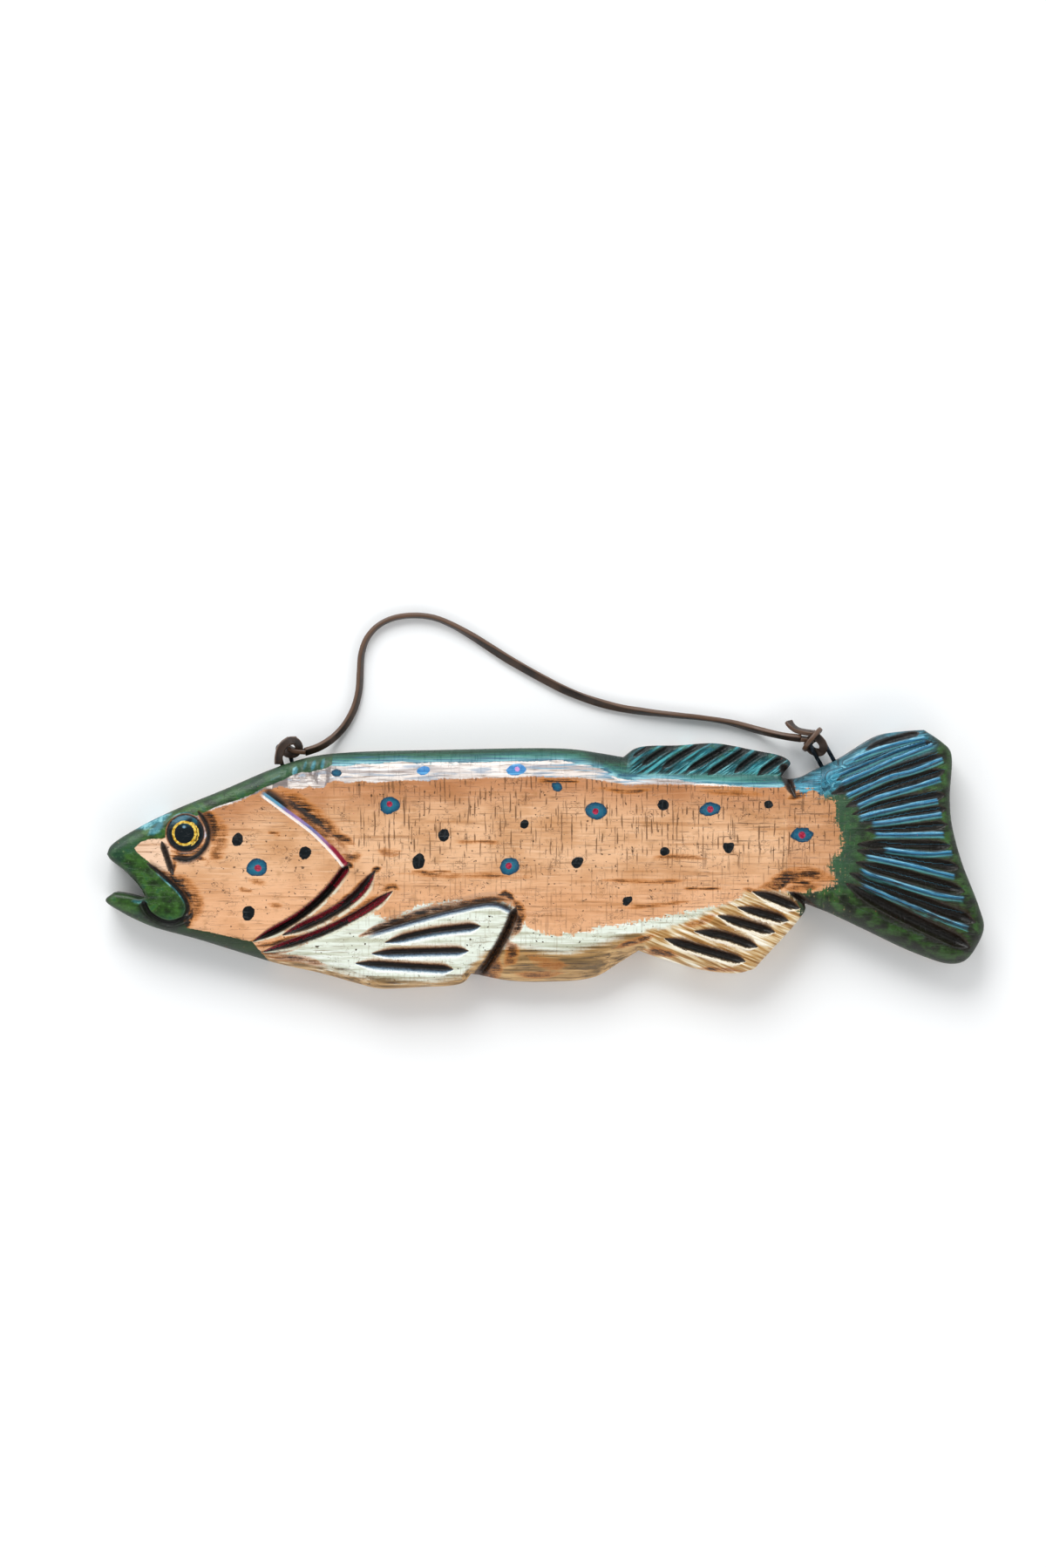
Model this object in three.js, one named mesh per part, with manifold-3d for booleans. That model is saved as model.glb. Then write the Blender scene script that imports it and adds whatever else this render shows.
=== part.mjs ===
// A carved fish to hang on a wall: a trout sawn from a three-quarter-inch board, its eye, gills, fins and
// tail cut with gouges, with a wire staple in its back at each end and a leather lace tied to the two.
// Units are millimetres. The fish lies on its flat back face: +X points to the tail, +Y to the dorsal fin
// and +Z out of the carved side. The origin is the middle of the back face.

import * as THREE from 'three';
import Module from 'manifold-3d';

const wasm = await Module();
wasm.setup();

// Driving sizes of the board
const BOARD = 19;
const BACK_EDGE_INSET = 1.6;
const BACK_EDGE_HEIGHT = 2;
const RIM_SLOPE = 0.68;
const RIM_MIN_DROP = 0.8;
const RIM_MAX_DROP = 8.6;

// Driving sizes of the hanging hardware
const WIRE = 1.7;
const CLEARANCE = 0.3;
const STAPLE_SPAN = 7.2;
const STAPLE_BITE = 9;
const LACE_WIDTH = 3.4;
const LACE_THICK = 2.2;
const CORD_SIDES = 8;
const LACE_STEPS = 33;
const STRAP_STEP = 2.9;

// How finely curves become facets
const OUTLINE_STEP = 0.8;
const OUTLINE_TOLERANCE = 0.12;
const GRID = 0.75;
const RIM_RINGS = [0.07, 0.3, 0.62, 1];
const RING_GAP = 0.5;

// The sawn outline, clockwise from the nose. Each row runs from one corner to the next, and each point is
// x, y and the width of the rounded rim that the knife left on the front edge there.
const OUTLINE = [
  [[-177.4, 2.2, 3], [-176, 5.4, 4], [-165, 12.8, 6], [-150, 20.2, 6.5], [-130, 28.4, 6], [-110, 36.9, 6.5],
    [-95, 41.6, 8.5], [-80, 43.4, 11.5], [-45, 44.4, 12.5], [9, 44.9, 12.5], [22, 43.2, 11.5], [32, 41.5, 8]],
  [[32, 41.5, 8], [38, 45.4, 2.5], [55, 46.3, 2], [69, 47.1, 2], [84, 44.5, 2], [97.5, 41.3, 2],
    [99.7, 39, 1.8], [98.5, 36.9, 1.8], [96, 33.5, 2]],
  [[96, 33.5, 2], [98.5, 32.6, 6], [104, 33.3, 8], [110, 36.2, 7], [120, 41, 5], [135.8, 50.3, 3],
    [145, 51.9, 2.5], [153.5, 52.5, 2.5]],
  [[153.5, 52.5, 2.5], [161, 47.4, 2.5], [164.5, 43.5, 3], [164.1, 25, 3], [164.8, 15, 3], [168.6, 0, 3],
    [176.2, -20, 3], [178, -27.3, 3.5], [175.5, -34.5, 4], [170.5, -41, 5], [164.4, -42.4, 6],
    [150, -38, 6.5], [130, -28.6, 7], [115, -21.6, 7], [105.5, -17.9, 4]],
  [[105.5, -17.9, 4], [105.4, -20.6, 2.5], [84.8, -44.4, 2]],
  [[84.8, -44.4, 2], [78, -46.1, 4], [65, -45.1, 6], [50, -41.2, 7], [38.1, -37.1, 8]],
  [[38.1, -37.1, 8], [30, -42.3, 13], [20, -48, 16], [0, -49.9, 18], [-15, -49.3, 16], [-29.9, -46.5, 8]],
  [[-29.9, -46.5, 8], [-32.5, -49.6, 4], [-36, -50.9, 4.5], [-50, -51.8, 5], [-67, -52.42, 6], [-74, -51, 8],
    [-90, -46.6, 11], [-110, -42, 10], [-140, -32.7, 7], [-160, -27, 6], [-172, -21.2, 5], [-178, -16.5, 3],
    [-174.4, -13.3, 2.5]],
  [[-174.4, -13.3, 2.5], [-169, -14.2, 2], [-163.6, -15.5, 1.5], [-161.8, -15, 1.5]],
  [[-161.8, -15, 1.5], [-163.6, -11.6, 1.5], [-170, -4.8, 2.5], [-176, 0, 3], [-177.4, 2.2, 3]],
];

// The carving. A cut follows its path; left and right are its half widths on the two sides, depth is at its
// deepest, and ramps are the lengths over which it fades in and out (0 where it runs off the edge).
const fanCut = (path, width) => ({
  path, left: width / 2, right: width / 2, depth: 0.5 * width, ramps: [2.6 * width, 1.4 * width],
});

const TAIL_CUTS = [
  [[129.5, 44.2], [140, 48.3], [151.6, 51.2], 2.4],
  [[118, 32], [135, 40.7], [156.8, 47.4], 3],
  [[116, 26.6], [136, 34], [160.5, 42], 4.3],
  [[122, 21.4], [140, 29.4], [161.5, 36], 4.5],
  [[124.5, 18.3], [140, 22.8], [161.8, 26.2], 4.1],
  [[127, 15.3], [142, 17.6], [162.3, 20.6], 3.6],
  [[129.5, 11.9], [145, 12.6], [162.8, 14.2], 3.7],
  [[126.5, 6.1], [145, 6.1], [164, 5.4], 4],
  [[126.5, 3.6], [145, 0.7], [167.6, -3.3], 4.2],
  [[126, -1.2], [145, -6], [169.6, -13], 4.8],
  [[123.5, -5.6], [145, -14.2], [174, -25.4], 5],
  [[122, -9.8], [145, -22.6], [172, -35.6], 5.4],
].map(([root, middle, rim, width]) => fanCut([root, middle, rim], width));

const ANAL_CUTS = [
  [[84, -13], [93, -15.8], [103, -19.8]],
  [[78, -19.3], [88, -21.8], [98.4, -24.8]],
  [[70, -22.7], [81, -26], [93, -29.4]],
  [[60.6, -29], [72, -30.7], [86, -35.4]],
  [[48.5, -32], [64, -36.5], [81, -41.2]],
].map((path) => fanCut(path, 3.7));

const PECTORAL_CUTS = [
  [[-64.5, -33.6], [-46, -29.4], [-26, -27]],
  [[-70, -38.1], [-50, -37.4], [-31, -37]],
  [[-76.5, -42], [-57, -43.3], [-37, -44.5]],
].map((path) => fanCut(path, 3.6));

const DORSAL_CUTS = [
  [[35.6, 41.4], [39.5, 44], [44, 46.8], 1.6],
  [[39.2, 38], [46, 42.9], [55, 47.6], 2.4],
  [[47.6, 37], [56, 42.6], [68, 49], 2.4],
  [[57.6, 35.8], [67, 41.5], [79.5, 48.6], 2.6],
  [[66, 34.2], [75, 40.3], [86, 47.6], 2.6],
  [[76.8, 35], [84, 40.8], [92.5, 46], 2.6],
  [[86.2, 34], [92, 38.3], [100, 43], 2.8],
].map(([root, middle, edge, width]) => ({
  path: [root, middle, edge], left: width / 2, right: width / 2, depth: 0.62 * width, ramps: [1.6 * width, 0],
}));

const HEAD_CUTS = [
  // behind the gill cover, steep against the cover and long towards the flank
  { path: [[-115, 27.2], [-105.6, 20.2], [-93.4, 11], [-84.4, 1.8], [-80.6, -3]],
    left: 5, right: 0.9, depth: 2.4, ramps: [9, 1.5] },
  // three slits below the gill cover
  { path: [[-79.6, -2.6], [-88.6, -13.8], [-100, -23.4], [-118, -33.2]],
    left: 1.6, right: 1.6, depth: 2.8, ramps: [2, 12] },
  { path: [[-68.6, -4.4], [-75.5, -13.5], [-85.5, -21], [-106, -30.6]],
    left: 2, right: 1.7, depth: 2.3, ramps: [9, 12] },
  { path: [[-61.6, -12.8], [-74.5, -21.4], [-90, -29.2], [-114, -37.4]],
    left: 1.7, right: 1.4, depth: 2, ramps: [9, 14] },
  // the outer corner of the eye socket and the cut between eye and snout
  { path: [[-140.5, 19.8], [-137.2, 15.5], [-135.8, 9.6], [-138, 3.8], [-144, -0.4], [-151, 0.6]],
    left: 1.2, right: 1.2, depth: 1.1, ramps: [4, 4], sharp: true },
  { path: [[-155, 7.4], [-152.8, 1], [-150.2, -6.6]],
    left: 1.1, right: 1.1, depth: 1.2, ramps: [3, 4], sharp: true },
  // above and below the swollen hinge of the jaw
  { path: [[-161.4, -1.2], [-152, -9], [-146.3, -15.2], [-144.6, -20.4], [-147, -24]],
    left: 2.6, right: 0.8, depth: 1.7, ramps: [5, 4] },
  { path: [[-162.5, -16.6], [-159.4, -22], [-152, -25.4], [-143.5, -22.6]],
    left: 0.9, right: 1.8, depth: 1.7, ramps: [1.5, 4] },
];

const FIN_CUTS = [
  // round the top and the rear of the pectoral fin
  { path: [[-73.5, -30.8], [-55, -25.3], [-35.4, -20.2], [-20, -17.8], [-12.2, -21]],
    left: 4.6, right: 0.9, depth: 2, ramps: [14, 3] },
  { path: [[-11.6, -19.4], [-14.6, -27.6], [-21, -39.2], [-29, -50]],
    left: 1.8, right: 1.8, depth: 3.2, ramps: [4, 0], sharp: true },
  // between the anal fin and the root of the tail, then between that root and the dorsal fin
  { path: [[98.8, -13.2], [102.6, -15.4], [108, -20]], left: 1.4, right: 1, depth: 2.4, ramps: [4, 0], sharp: true },
  { path: [[97.2, 37], [99, 31], [101.4, 25]], left: 1.4, right: 1.8, depth: 2.4, ramps: [0, 6], sharp: true },
];

const EYE = { x: -145.4, y: 10.6, ring: 7.6, ringWidth: 1.7, ringDepth: 1.1, facets: 24 };

// The dorsal fin lies below the face: x, the y where the slope down to it starts, and how far down it is
const FIN_SHELF = [[23, 34.5, 0], [31, 31.4, 2.6], [40, 30.8, 4.2], [70, 30.2, 4.6], [92, 29.6, 4.4], [99, 30, 3.2],
  [106, 31, 0]];
const SHELF_SLOPE = 5.5;

// Small vector helpers on [x, y] pairs
const minus = (a, b) => [a[0] - b[0], a[1] - b[1]];
const cross = (a, b) => a[0] * b[1] - a[1] * b[0];
const range = (count) => Array.from({ length: count }, (_, i) => i);

function smoothCurve(points) {
  return new THREE.CatmullRomCurve3(points.map(([x, y, z = 0]) => new THREE.Vector3(x, y, z)), false, 'centripetal');
}

// Keeps the points of an open run that a straight line would miss by more than the tolerance
function simplify(points, tolerance) {
  const first = points[0];
  const last = points[points.length - 1];
  const chord = minus(last, first);
  const length = Math.hypot(...chord);
  let worst = 0;
  let split = 0;
  points.forEach((p, i) => {
    const away = length > 1e-9 ? Math.abs(cross(minus(p, first), chord)) / length : Math.hypot(...minus(p, first));
    if (away > worst) [worst, split] = [away, i];
  });
  if (worst <= tolerance) return [first, last];
  return [...simplify(points.slice(0, split + 1), tolerance).slice(0, -1), ...simplify(points.slice(split), tolerance)];
}

function simplifyLoop(loop, tolerance) {
  const far = loop.reduce((best, p, i) => {
    const away = Math.hypot(...minus(p, loop[0]));
    return away > best.away ? { away, i } : best;
  }, { away: 0, i: 0 }).i;
  return [
    ...simplify(loop.slice(0, far + 1), tolerance).slice(0, -1),
    ...simplify([...loop.slice(far), loop[0]], tolerance).slice(0, -1),
  ];
}

const loopArea = (loop) => loop.reduce((sum, p, i) => sum + cross(p, loop[(i + 1) % loop.length]) / 2, 0);

function contains(loop, [x, y]) {
  let inside = false;
  loop.forEach(([ax, ay], i) => {
    const [bx, by] = loop[(i + 1) % loop.length];
    if ((ay > y) !== (by > y) && x < ax + ((y - ay) / (by - ay)) * (bx - ax)) inside = !inside;
  });
  return inside;
}

// The outline as one counterclockwise loop of [x, y, rim width]
function outlineLoop() {
  const loop = OUTLINE.flatMap((row) => {
    const curve = smoothCurve(row);
    const samples = curve.getSpacedPoints(Math.ceil(curve.getLength() / OUTLINE_STEP)).map((p) => [p.x, p.y, p.z]);
    return simplify(samples, OUTLINE_TOLERANCE).slice(0, -1);
  });
  return loop.reverse();
}

const outline = outlineLoop();

// How far inside the outline a point lies, and the rim width of the nearest stretch
function insetAt(x, y) {
  let nearest = Infinity;
  let rim = 0;
  for (let i = 0; i < outline.length; i += 1) {
    const a = outline[i];
    const b = outline[(i + 1) % outline.length];
    const dx = b[0] - a[0];
    const dy = b[1] - a[1];
    const t = Math.min(1, Math.max(0, ((x - a[0]) * dx + (y - a[1]) * dy) / (dx * dx + dy * dy)));
    const away = Math.hypot(x - a[0] - t * dx, y - a[1] - t * dy);
    if (away < nearest) {
      nearest = away;
      rim = a[2] + t * (b[2] - a[2]);
    }
  }
  return { inset: contains(outline, [x, y]) ? nearest : -nearest, rim };
}

// How far the rounded rim lies below the face
function rimDrop({ inset, rim }) {
  if (inset >= rim) return 0;
  const u = 1 - Math.max(inset, 0) / rim;
  return Math.min(RIM_SLOPE * rim + RIM_MIN_DROP, RIM_MAX_DROP) * (1 - Math.sqrt(1 - u * u));
}

function shelfAt(x, y) {
  const last = FIN_SHELF.length - 1;
  if (x <= FIN_SHELF[0][0] || x >= FIN_SHELF[last][0]) return 0;
  const i = FIN_SHELF.findIndex((row) => row[0] > x) - 1;
  const [x0, start0, deep0] = FIN_SHELF[i];
  const [x1, start1, deep1] = FIN_SHELF[i + 1];
  const t = (x - x0) / (x1 - x0);
  const s = THREE.MathUtils.clamp((y - start0 - t * (start1 - start0)) / SHELF_SLOPE, 0, 1);
  return (deep0 + t * (deep1 - deep0)) * s * (2 - s);
}

const surfaceAt = (x, y) => BOARD - rimDrop(insetAt(x, y)) - shelfAt(x, y);

// The loops, counterclockwise, along which a field sampled on a square grid is zero
function contourLoops(field, columns, rows, originX, originY) {
  const at = (i, j) => field[j * columns + i];
  const crossing = new Map();
  const next = new Map();
  const edges = [
    (i, j) => [2 * (j * columns + i), [i, j], [i + 1, j]],
    (i, j) => [2 * (j * columns + i + 1) + 1, [i + 1, j], [i + 1, j + 1]],
    (i, j) => [2 * ((j + 1) * columns + i), [i + 1, j + 1], [i, j + 1]],
    (i, j) => [2 * (j * columns + i) + 1, [i, j + 1], [i, j]],
  ];
  for (let j = 0; j < rows - 1; j += 1) {
    for (let i = 0; i < columns - 1; i += 1) {
      const hits = [];
      for (const edge of edges) {
        const [id, p, q] = edge(i, j);
        const a = at(...p);
        const b = at(...q);
        if ((a > 0) === (b > 0)) continue;
        const t = a / (a - b);
        crossing.set(id, [originX + GRID * (p[0] + t * (q[0] - p[0])), originY + GRID * (p[1] + t * (q[1] - p[1]))]);
        hits.push({ id, leaves: a > 0 });
      }
      hits.forEach((hit, k) => {
        if (hit.leaves) next.set(hit.id, hits[(k + hits.length - 1) % hits.length].id);
      });
    }
  }
  const loops = [];
  while (next.size) {
    const loop = [];
    let id = next.keys().next().value;
    while (next.has(id)) {
      loop.push(crossing.get(id));
      const following = next.get(id);
      next.delete(id);
      id = following;
    }
    loops.push(loop);
  }
  return loops;
}

// Loops that run inside the outline at an inset that depends on the rim width there
function insetLoops(samples, insetOf) {
  const { columns, rows, originX, originY, values } = samples;
  const field = values.map(({ inset, rim }) => inset - insetOf(rim));
  return contourLoops(field, columns, rows, originX, originY)
    .filter((loop) => loopArea(loop) > 4)
    .map((loop) => simplifyLoop(loop, OUTLINE_TOLERANCE));
}

function sampleInsets() {
  const box = new THREE.Box2().setFromPoints(outline.map(([x, y]) => new THREE.Vector2(x, y)));
  const originX = box.min.x - 2 * GRID;
  const originY = box.min.y - 2 * GRID;
  const columns = Math.ceil((box.max.x - originX) / GRID) + 3;
  const rows = Math.ceil((box.max.y - originY) / GRID) + 3;
  const values = range(rows).flatMap((j) => range(columns).map((i) => insetAt(originX + GRID * i, originY + GRID * j)));
  return { columns, rows, originX, originY, values };
}

const toSolid = (vertices, triangles) => new wasm.Manifold(new wasm.Mesh({
  numProp: 3, vertProperties: new Float32Array(vertices.flat()), triVerts: new Uint32Array(triangles.flat()),
}));

// Fills the band between outer loops and the inner loops that lie within them. A loop's vertices are indexed
// from loop.start, and turned is true for a band that faces down.
function fillBand(outer, inner, triangles, turned) {
  for (const loop of outer) {
    const holes = inner.filter((candidate) => contains(loop, candidate[0]));
    const points = [loop, ...holes].flat();
    const index = [loop, ...holes].flatMap((part) => range(part.length).map((i) => part.start + i));
    const vectors = (part) => part.map(([x, y]) => new THREE.Vector2(x, y));
    for (const face of THREE.ShapeUtils.triangulateShape(vectors(loop), holes.map(vectors))) {
      const [a, b, c] = face.map((k) => points[k]);
      const clockwise = cross(minus(b, a), minus(c, a)) < 0;
      const [i, j, k] = face.map((n) => index[n]);
      triangles.push(clockwise === turned ? [i, j, k] : [i, k, j]);
    }
  }
}

// The board with its sawn outline, its rounded front rim and the eased edge behind
function boardSolid() {
  const samples = sampleInsets();
  const vertices = [];
  const triangles = [];
  const place = (loop, heightOf) => {
    const placed = loop.map(([x, y]) => [x, y]);
    placed.start = vertices.length;
    placed.forEach(([x, y]) => vertices.push([x, y, heightOf(x, y)]));
    return placed;
  };
  const heightInside = (x, y) => BOARD - rimDrop(insetAt(x, y));
  const wallTop = place(outline, heightInside);
  const wallFoot = place(outline, () => BACK_EDGE_HEIGHT);
  outline.forEach((_, i) => {
    const j = (i + 1) % outline.length;
    triangles.push([wallFoot.start + i, wallFoot.start + j, wallTop.start + j]);
    triangles.push([wallFoot.start + i, wallTop.start + j, wallTop.start + i]);
  });
  const front = RIM_RINGS.map((share, k) => insetLoops(samples, (rim) => Math.max(share * rim, RING_GAP * (k + 1)))
    .map((loop) => place(loop, heightInside)));
  [[wallTop], ...front].forEach((loops, k, all) => fillBand(loops, all[k + 1] ?? [], triangles, false));
  const flat = insetLoops(samples, () => BACK_EDGE_INSET).map((loop) => place(loop, () => 0));
  fillBand([wallFoot], flat, triangles, true);
  fillBand(flat, [], triangles, true);
  return toSolid(vertices, triangles);
}

// A closed solid through cross-sections that all have the same number of corners
function loft(sections, closed = false) {
  const corners = sections[0].length;
  const triangles = [];
  const bands = closed ? sections.length : sections.length - 1;
  range(bands).forEach((i) => range(corners).forEach((k) => {
    const a = i * corners + k;
    const b = i * corners + ((k + 1) % corners);
    const lift = (((i + 1) % sections.length) - i) * corners;
    triangles.push([a, b, b + lift], [a, b + lift, a + lift]);
  }));
  if (!closed) {
    range(corners - 2).forEach((k) => {
      const end = (sections.length - 1) * corners;
      triangles.push([0, k + 2, k + 1], [end, end + k + 1, end + k + 2]);
    });
  }
  const solid = toSolid(sections.flat(), triangles);
  return solid.volume() > 0 ? solid : toSolid(sections.flat(), triangles.map(([a, b, c]) => [a, c, b]));
}

const CUT_TOP = BOARD + 6;
const ROUND_PROFILE = [-1.15, -0.6, 0, 0.6, 1.15];
const SHARP_PROFILE = [-1.2, 0, 1.2];

// One section of a cut: its floor from left to right, then straight up and over the surface. The ends of the
// top lie a hair outside the floor's, so that the section stays convex enough to cap with a fan.
function cutSection([x, y], [nx, ny], { left, right, depth, sharp }, share) {
  const profile = sharp ? SHARP_PROFILE : ROUND_PROFILE;
  const squeeze = 0.12 + 0.88 * share;
  const floor = profile.map((s) => {
    const side = -s * (s < 0 ? left : right) * squeeze;
    const [px, py] = [x + nx * side, y + ny * side];
    const dip = sharp ? 1 - Math.abs(s) : 1 - s * s;
    return [px, py, surfaceAt(px, py) + 0.25 * (1 - share) - depth * share * dip];
  });
  const lid = [floor[floor.length - 1], floor[0]].map(([px, py]) => [px, py, CUT_TOP]);
  return [...floor, ...lid];
}

function gouge(cut) {
  const curve = smoothCurve(cut.path);
  const length = curve.getLength();
  const stations = Math.max(6, Math.round(length / 6) + 3);
  const fade = (distance, ramp) => (ramp === 0 ? 1 : Math.sin((Math.PI / 2) * Math.min(1, distance / ramp)));
  const sections = range(stations + 1).map((i) => {
    const t = (1 - Math.cos((Math.PI * i) / stations)) / 2;
    const point = curve.getPointAt(t);
    const tangent = curve.getTangentAt(t);
    const share = fade(t * length, cut.ramps[0]) * fade((1 - t) * length, cut.ramps[1]);
    return cutSection([point.x, point.y], [-tangent.y, tangent.x], cut, share);
  });
  return loft(sections);
}

function eyeRing() {
  const cut = { left: EYE.ringWidth / 2, right: EYE.ringWidth / 2, depth: EYE.ringDepth, sharp: true };
  return loft(range(EYE.facets).map((i) => {
    const angle = (2 * Math.PI * i) / EYE.facets;
    const out = [Math.cos(angle), Math.sin(angle)];
    return cutSection([EYE.x + EYE.ring * out[0], EYE.y + EYE.ring * out[1]], out, cut, 1);
  }), true);
}

// Everything above the dorsal fin's lower face
function finShelf() {
  const outside = 56;
  const slope = [-0.2, 0.15, 0.5, 1];
  const stations = [...FIN_SHELF, [50, 30.6, 4.3], [60, 30.4, 4.5], [81, 29.9, 4.5]].sort((a, b) => a[0] - b[0]);
  return loft(stations.map(([x, start]) => {
    const floor = slope.map((s) => {
      const y = start + s * SHELF_SLOPE;
      return [x, y, BOARD - shelfAt(x, y) - rimDrop(insetAt(x, y)) + 0.3 * Math.max(0, -s) + 0.02];
    });
    const end = floor[floor.length - 1];
    return [...floor, [x, outside, end[2]], [x, outside, CUT_TOP], [x, floor[0][1], CUT_TOP]];
  }));
}

// Hanging hardware: a staple is a wire bent square, given by the middle of its two legs where they enter the
// wood, the way the legs point out of it, their reach and how far the pair is turned about that way
const STAPLES = {
  head: { at: [-104.8, 38.7, 8], heading: 107, reach: 8, turn: 45 },
  tail: { at: [115.4, 38.8, 8], heading: 119, reach: 11, turn: 0 },
};

const BEND = 1.6;

function staplePath({ at, heading, reach, turn }) {
  const angle = THREE.MathUtils.degToRad(heading);
  const out = new THREE.Vector3(Math.cos(angle), Math.sin(angle), 0);
  const across = new THREE.Vector3(Math.sin(angle), -Math.cos(angle), 0)
    .applyAxisAngle(out, THREE.MathUtils.degToRad(turn));
  const spot = (side, height) => new THREE.Vector3(...at)
    .addScaledVector(across, side).addScaledVector(out, height);
  const half = (STAPLE_SPAN - WIRE) / 2;
  const path = new THREE.CurvePath();
  path.add(new THREE.LineCurve3(spot(-half, -STAPLE_BITE), spot(-half, reach - BEND)));
  path.add(new THREE.QuadraticBezierCurve3(spot(-half, reach - BEND), spot(-half, reach), spot(BEND - half, reach)));
  path.add(new THREE.LineCurve3(spot(BEND - half, reach), spot(half - BEND, reach)));
  path.add(new THREE.QuadraticBezierCurve3(spot(half - BEND, reach), spot(half, reach), spot(half, reach - BEND)));
  path.add(new THREE.LineCurve3(spot(half, reach - BEND), spot(half, -STAPLE_BITE)));
  return path;
}

// Where along a staple's wire its cross-sections stand: the ends and each bend
function stapleStations(path) {
  const lengths = path.getCurveLengths();
  const total = lengths[lengths.length - 1];
  const bends = [0.25, 0.5, 0.75];
  const turn = (from, to) => [from, ...bends.map((share) => from + share * (to - from)), to];
  return [0, ...turn(lengths[0], lengths[1]), ...turn(lengths[2], lengths[3]), total].map((s) => s / total);
}

// A round bar through points with given directions, as a solid; normal keeps its facets from turning
function barSolid(points, tangents, normal, radius) {
  return loft(points.map((point, i) => {
    const side = new THREE.Vector3().crossVectors(tangents[i], normal).normalize();
    const up = new THREE.Vector3().crossVectors(side, tangents[i]);
    return range(CORD_SIDES).map((k) => {
      const angle = (2 * Math.PI * (k + 0.5)) / CORD_SIDES;
      return point.clone().addScaledVector(side, radius * Math.cos(angle))
        .addScaledVector(up, radius * Math.sin(angle)).toArray();
    });
  }));
}

// The wire of a staple, or the room that it needs where it is longer and thicker
function stapleSolid(path, radius, longer = 0) {
  const stations = stapleStations(path);
  const points = stations.map((t) => path.getPointAt(t));
  const tangents = stations.map((t) => path.getTangentAt(t));
  const last = points.length - 1;
  const normal = new THREE.Vector3().crossVectors(tangents[0], tangents[last / 2 | 0]).normalize();
  points[0].addScaledVector(tangents[0], -longer);
  points[last].addScaledVector(tangents[last], longer);
  return barSolid(points, tangents, normal, radius);
}

// The lace's course between its two knots, as x, y and the height of its middle
const LACE_COURSE = [
  [-97.6, 43.6, 8.2], [-92, 45.6, 6.6], [-86.6, 49.2, 3.8], [-81.6, 54.6, 2], [-77.8, 61.6, 1.8],
  [-75.9, 69, 1.8], [-75.4, 76.6, 1.8], [-74.8, 84, 1.8], [-72.6, 90.2, 1.8], [-68.2, 95.2, 1.8],
  [-61.8, 98.4, 1.8], [-53.5, 99.5, 1.8], [-45.4, 98.6, 1.8], [-37.8, 95.6, 1.8], [-30.2, 91.4, 1.8],
  [-22.7, 86.6, 1.8], [-15.2, 81.8, 1.8], [-7.6, 77.4, 1.8], [0.6, 72.9, 1.8], [9.4, 68.5, 1.8],
  [19.4, 64.7, 1.8], [30.6, 61.7, 1.8], [42.6, 59.9, 1.8], [54.6, 58.6, 1.8], [66, 57.4, 1.8],
  [76.4, 55.6, 1.9], [85.4, 53.1, 3], [92.8, 51.1, 5.4], [99, 49.8, 7.6], [104.4, 49.1, 8.4],
];

const laceCurve = smoothCurve(LACE_COURSE);

function laceGeometry() {
  const section = new THREE.Shape(range(CORD_SIDES).map((k) => {
    const angle = (2 * Math.PI * (k + 0.5)) / CORD_SIDES;
    return new THREE.Vector2((LACE_WIDTH / 2) * Math.cos(angle), (LACE_WIDTH / 2) * Math.sin(angle));
  }));
  return new THREE.ExtrudeGeometry(section, { steps: LACE_STEPS, bevelEnabled: false, extrudePath: laceCurve });
}

// The room that the lace needs where it meets the knot at its start (end 0) or its finish (end 1)
function laceRoom(end) {
  const stations = [0, 0.012, 0.024].map((t) => Math.abs(end - t));
  const points = stations.map((t) => laceCurve.getPointAt(t));
  const tangents = stations.map((t) => laceCurve.getTangentAt(t).multiplyScalar(end ? -1 : 1));
  points[0].addScaledVector(tangents[0], -CLEARANCE);
  return barSolid(points, tangents, new THREE.Vector3(0, 0, 1), LACE_WIDTH / 2 + 1.2 * CLEARANCE);
}

// A stretch of strap inside a knot: a flat section swept along a short curve, its wide side facing face
function strap(points, face) {
  const curve = smoothCurve(points);
  const steps = Math.max(3, Math.round(curve.getLength() / STRAP_STEP));
  const flat = LACE_WIDTH / 2 - 0.3 * LACE_THICK;
  const section = [
    [LACE_WIDTH / 2, 0], [flat, LACE_THICK / 2], [-flat, LACE_THICK / 2],
    [-LACE_WIDTH / 2, 0], [-flat, -LACE_THICK / 2], [flat, -LACE_THICK / 2],
  ];
  return loft(range(steps + 1).map((i) => {
    const point = curve.getPointAt(i / steps);
    const tangent = curve.getTangentAt(i / steps);
    const side = new THREE.Vector3().crossVectors(new THREE.Vector3(...face), tangent).normalize();
    const up = new THREE.Vector3().crossVectors(tangent, side);
    return section.map(([u, v]) => point.clone().addScaledVector(side, u).addScaledVector(up, v).toArray());
  }));
}

// The head knot: a flat end hangs down to the board's edge, rises over the staple and comes round to the lace
const HEAD_KNOT = [
  { points: [[-108.2, 38.7, 11.6], [-108, 42, 12.2], [-106.9, 45.6, 12.4], [-104, 48, 11.4], [-101.4, 48.3, 9]],
    face: [0.3, 0.1, 1] },
  { points: [[-105.2, 47.6, 11.6], [-101.6, 48, 10], [-100, 45.2, 8.4], [-102.2, 42.8, 7.4], [-105.6, 43.4, 6],
    [-106.6, 46.4, 5.6], [-104, 48.4, 7.2]], face: [0, 0, 1] },
  { points: [[-104.6, 45.4, 8.4], [-102, 44.2, 8.4], [-98, 43.6, 8.2]], face: [0, 1, 0.3] },
];

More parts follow.
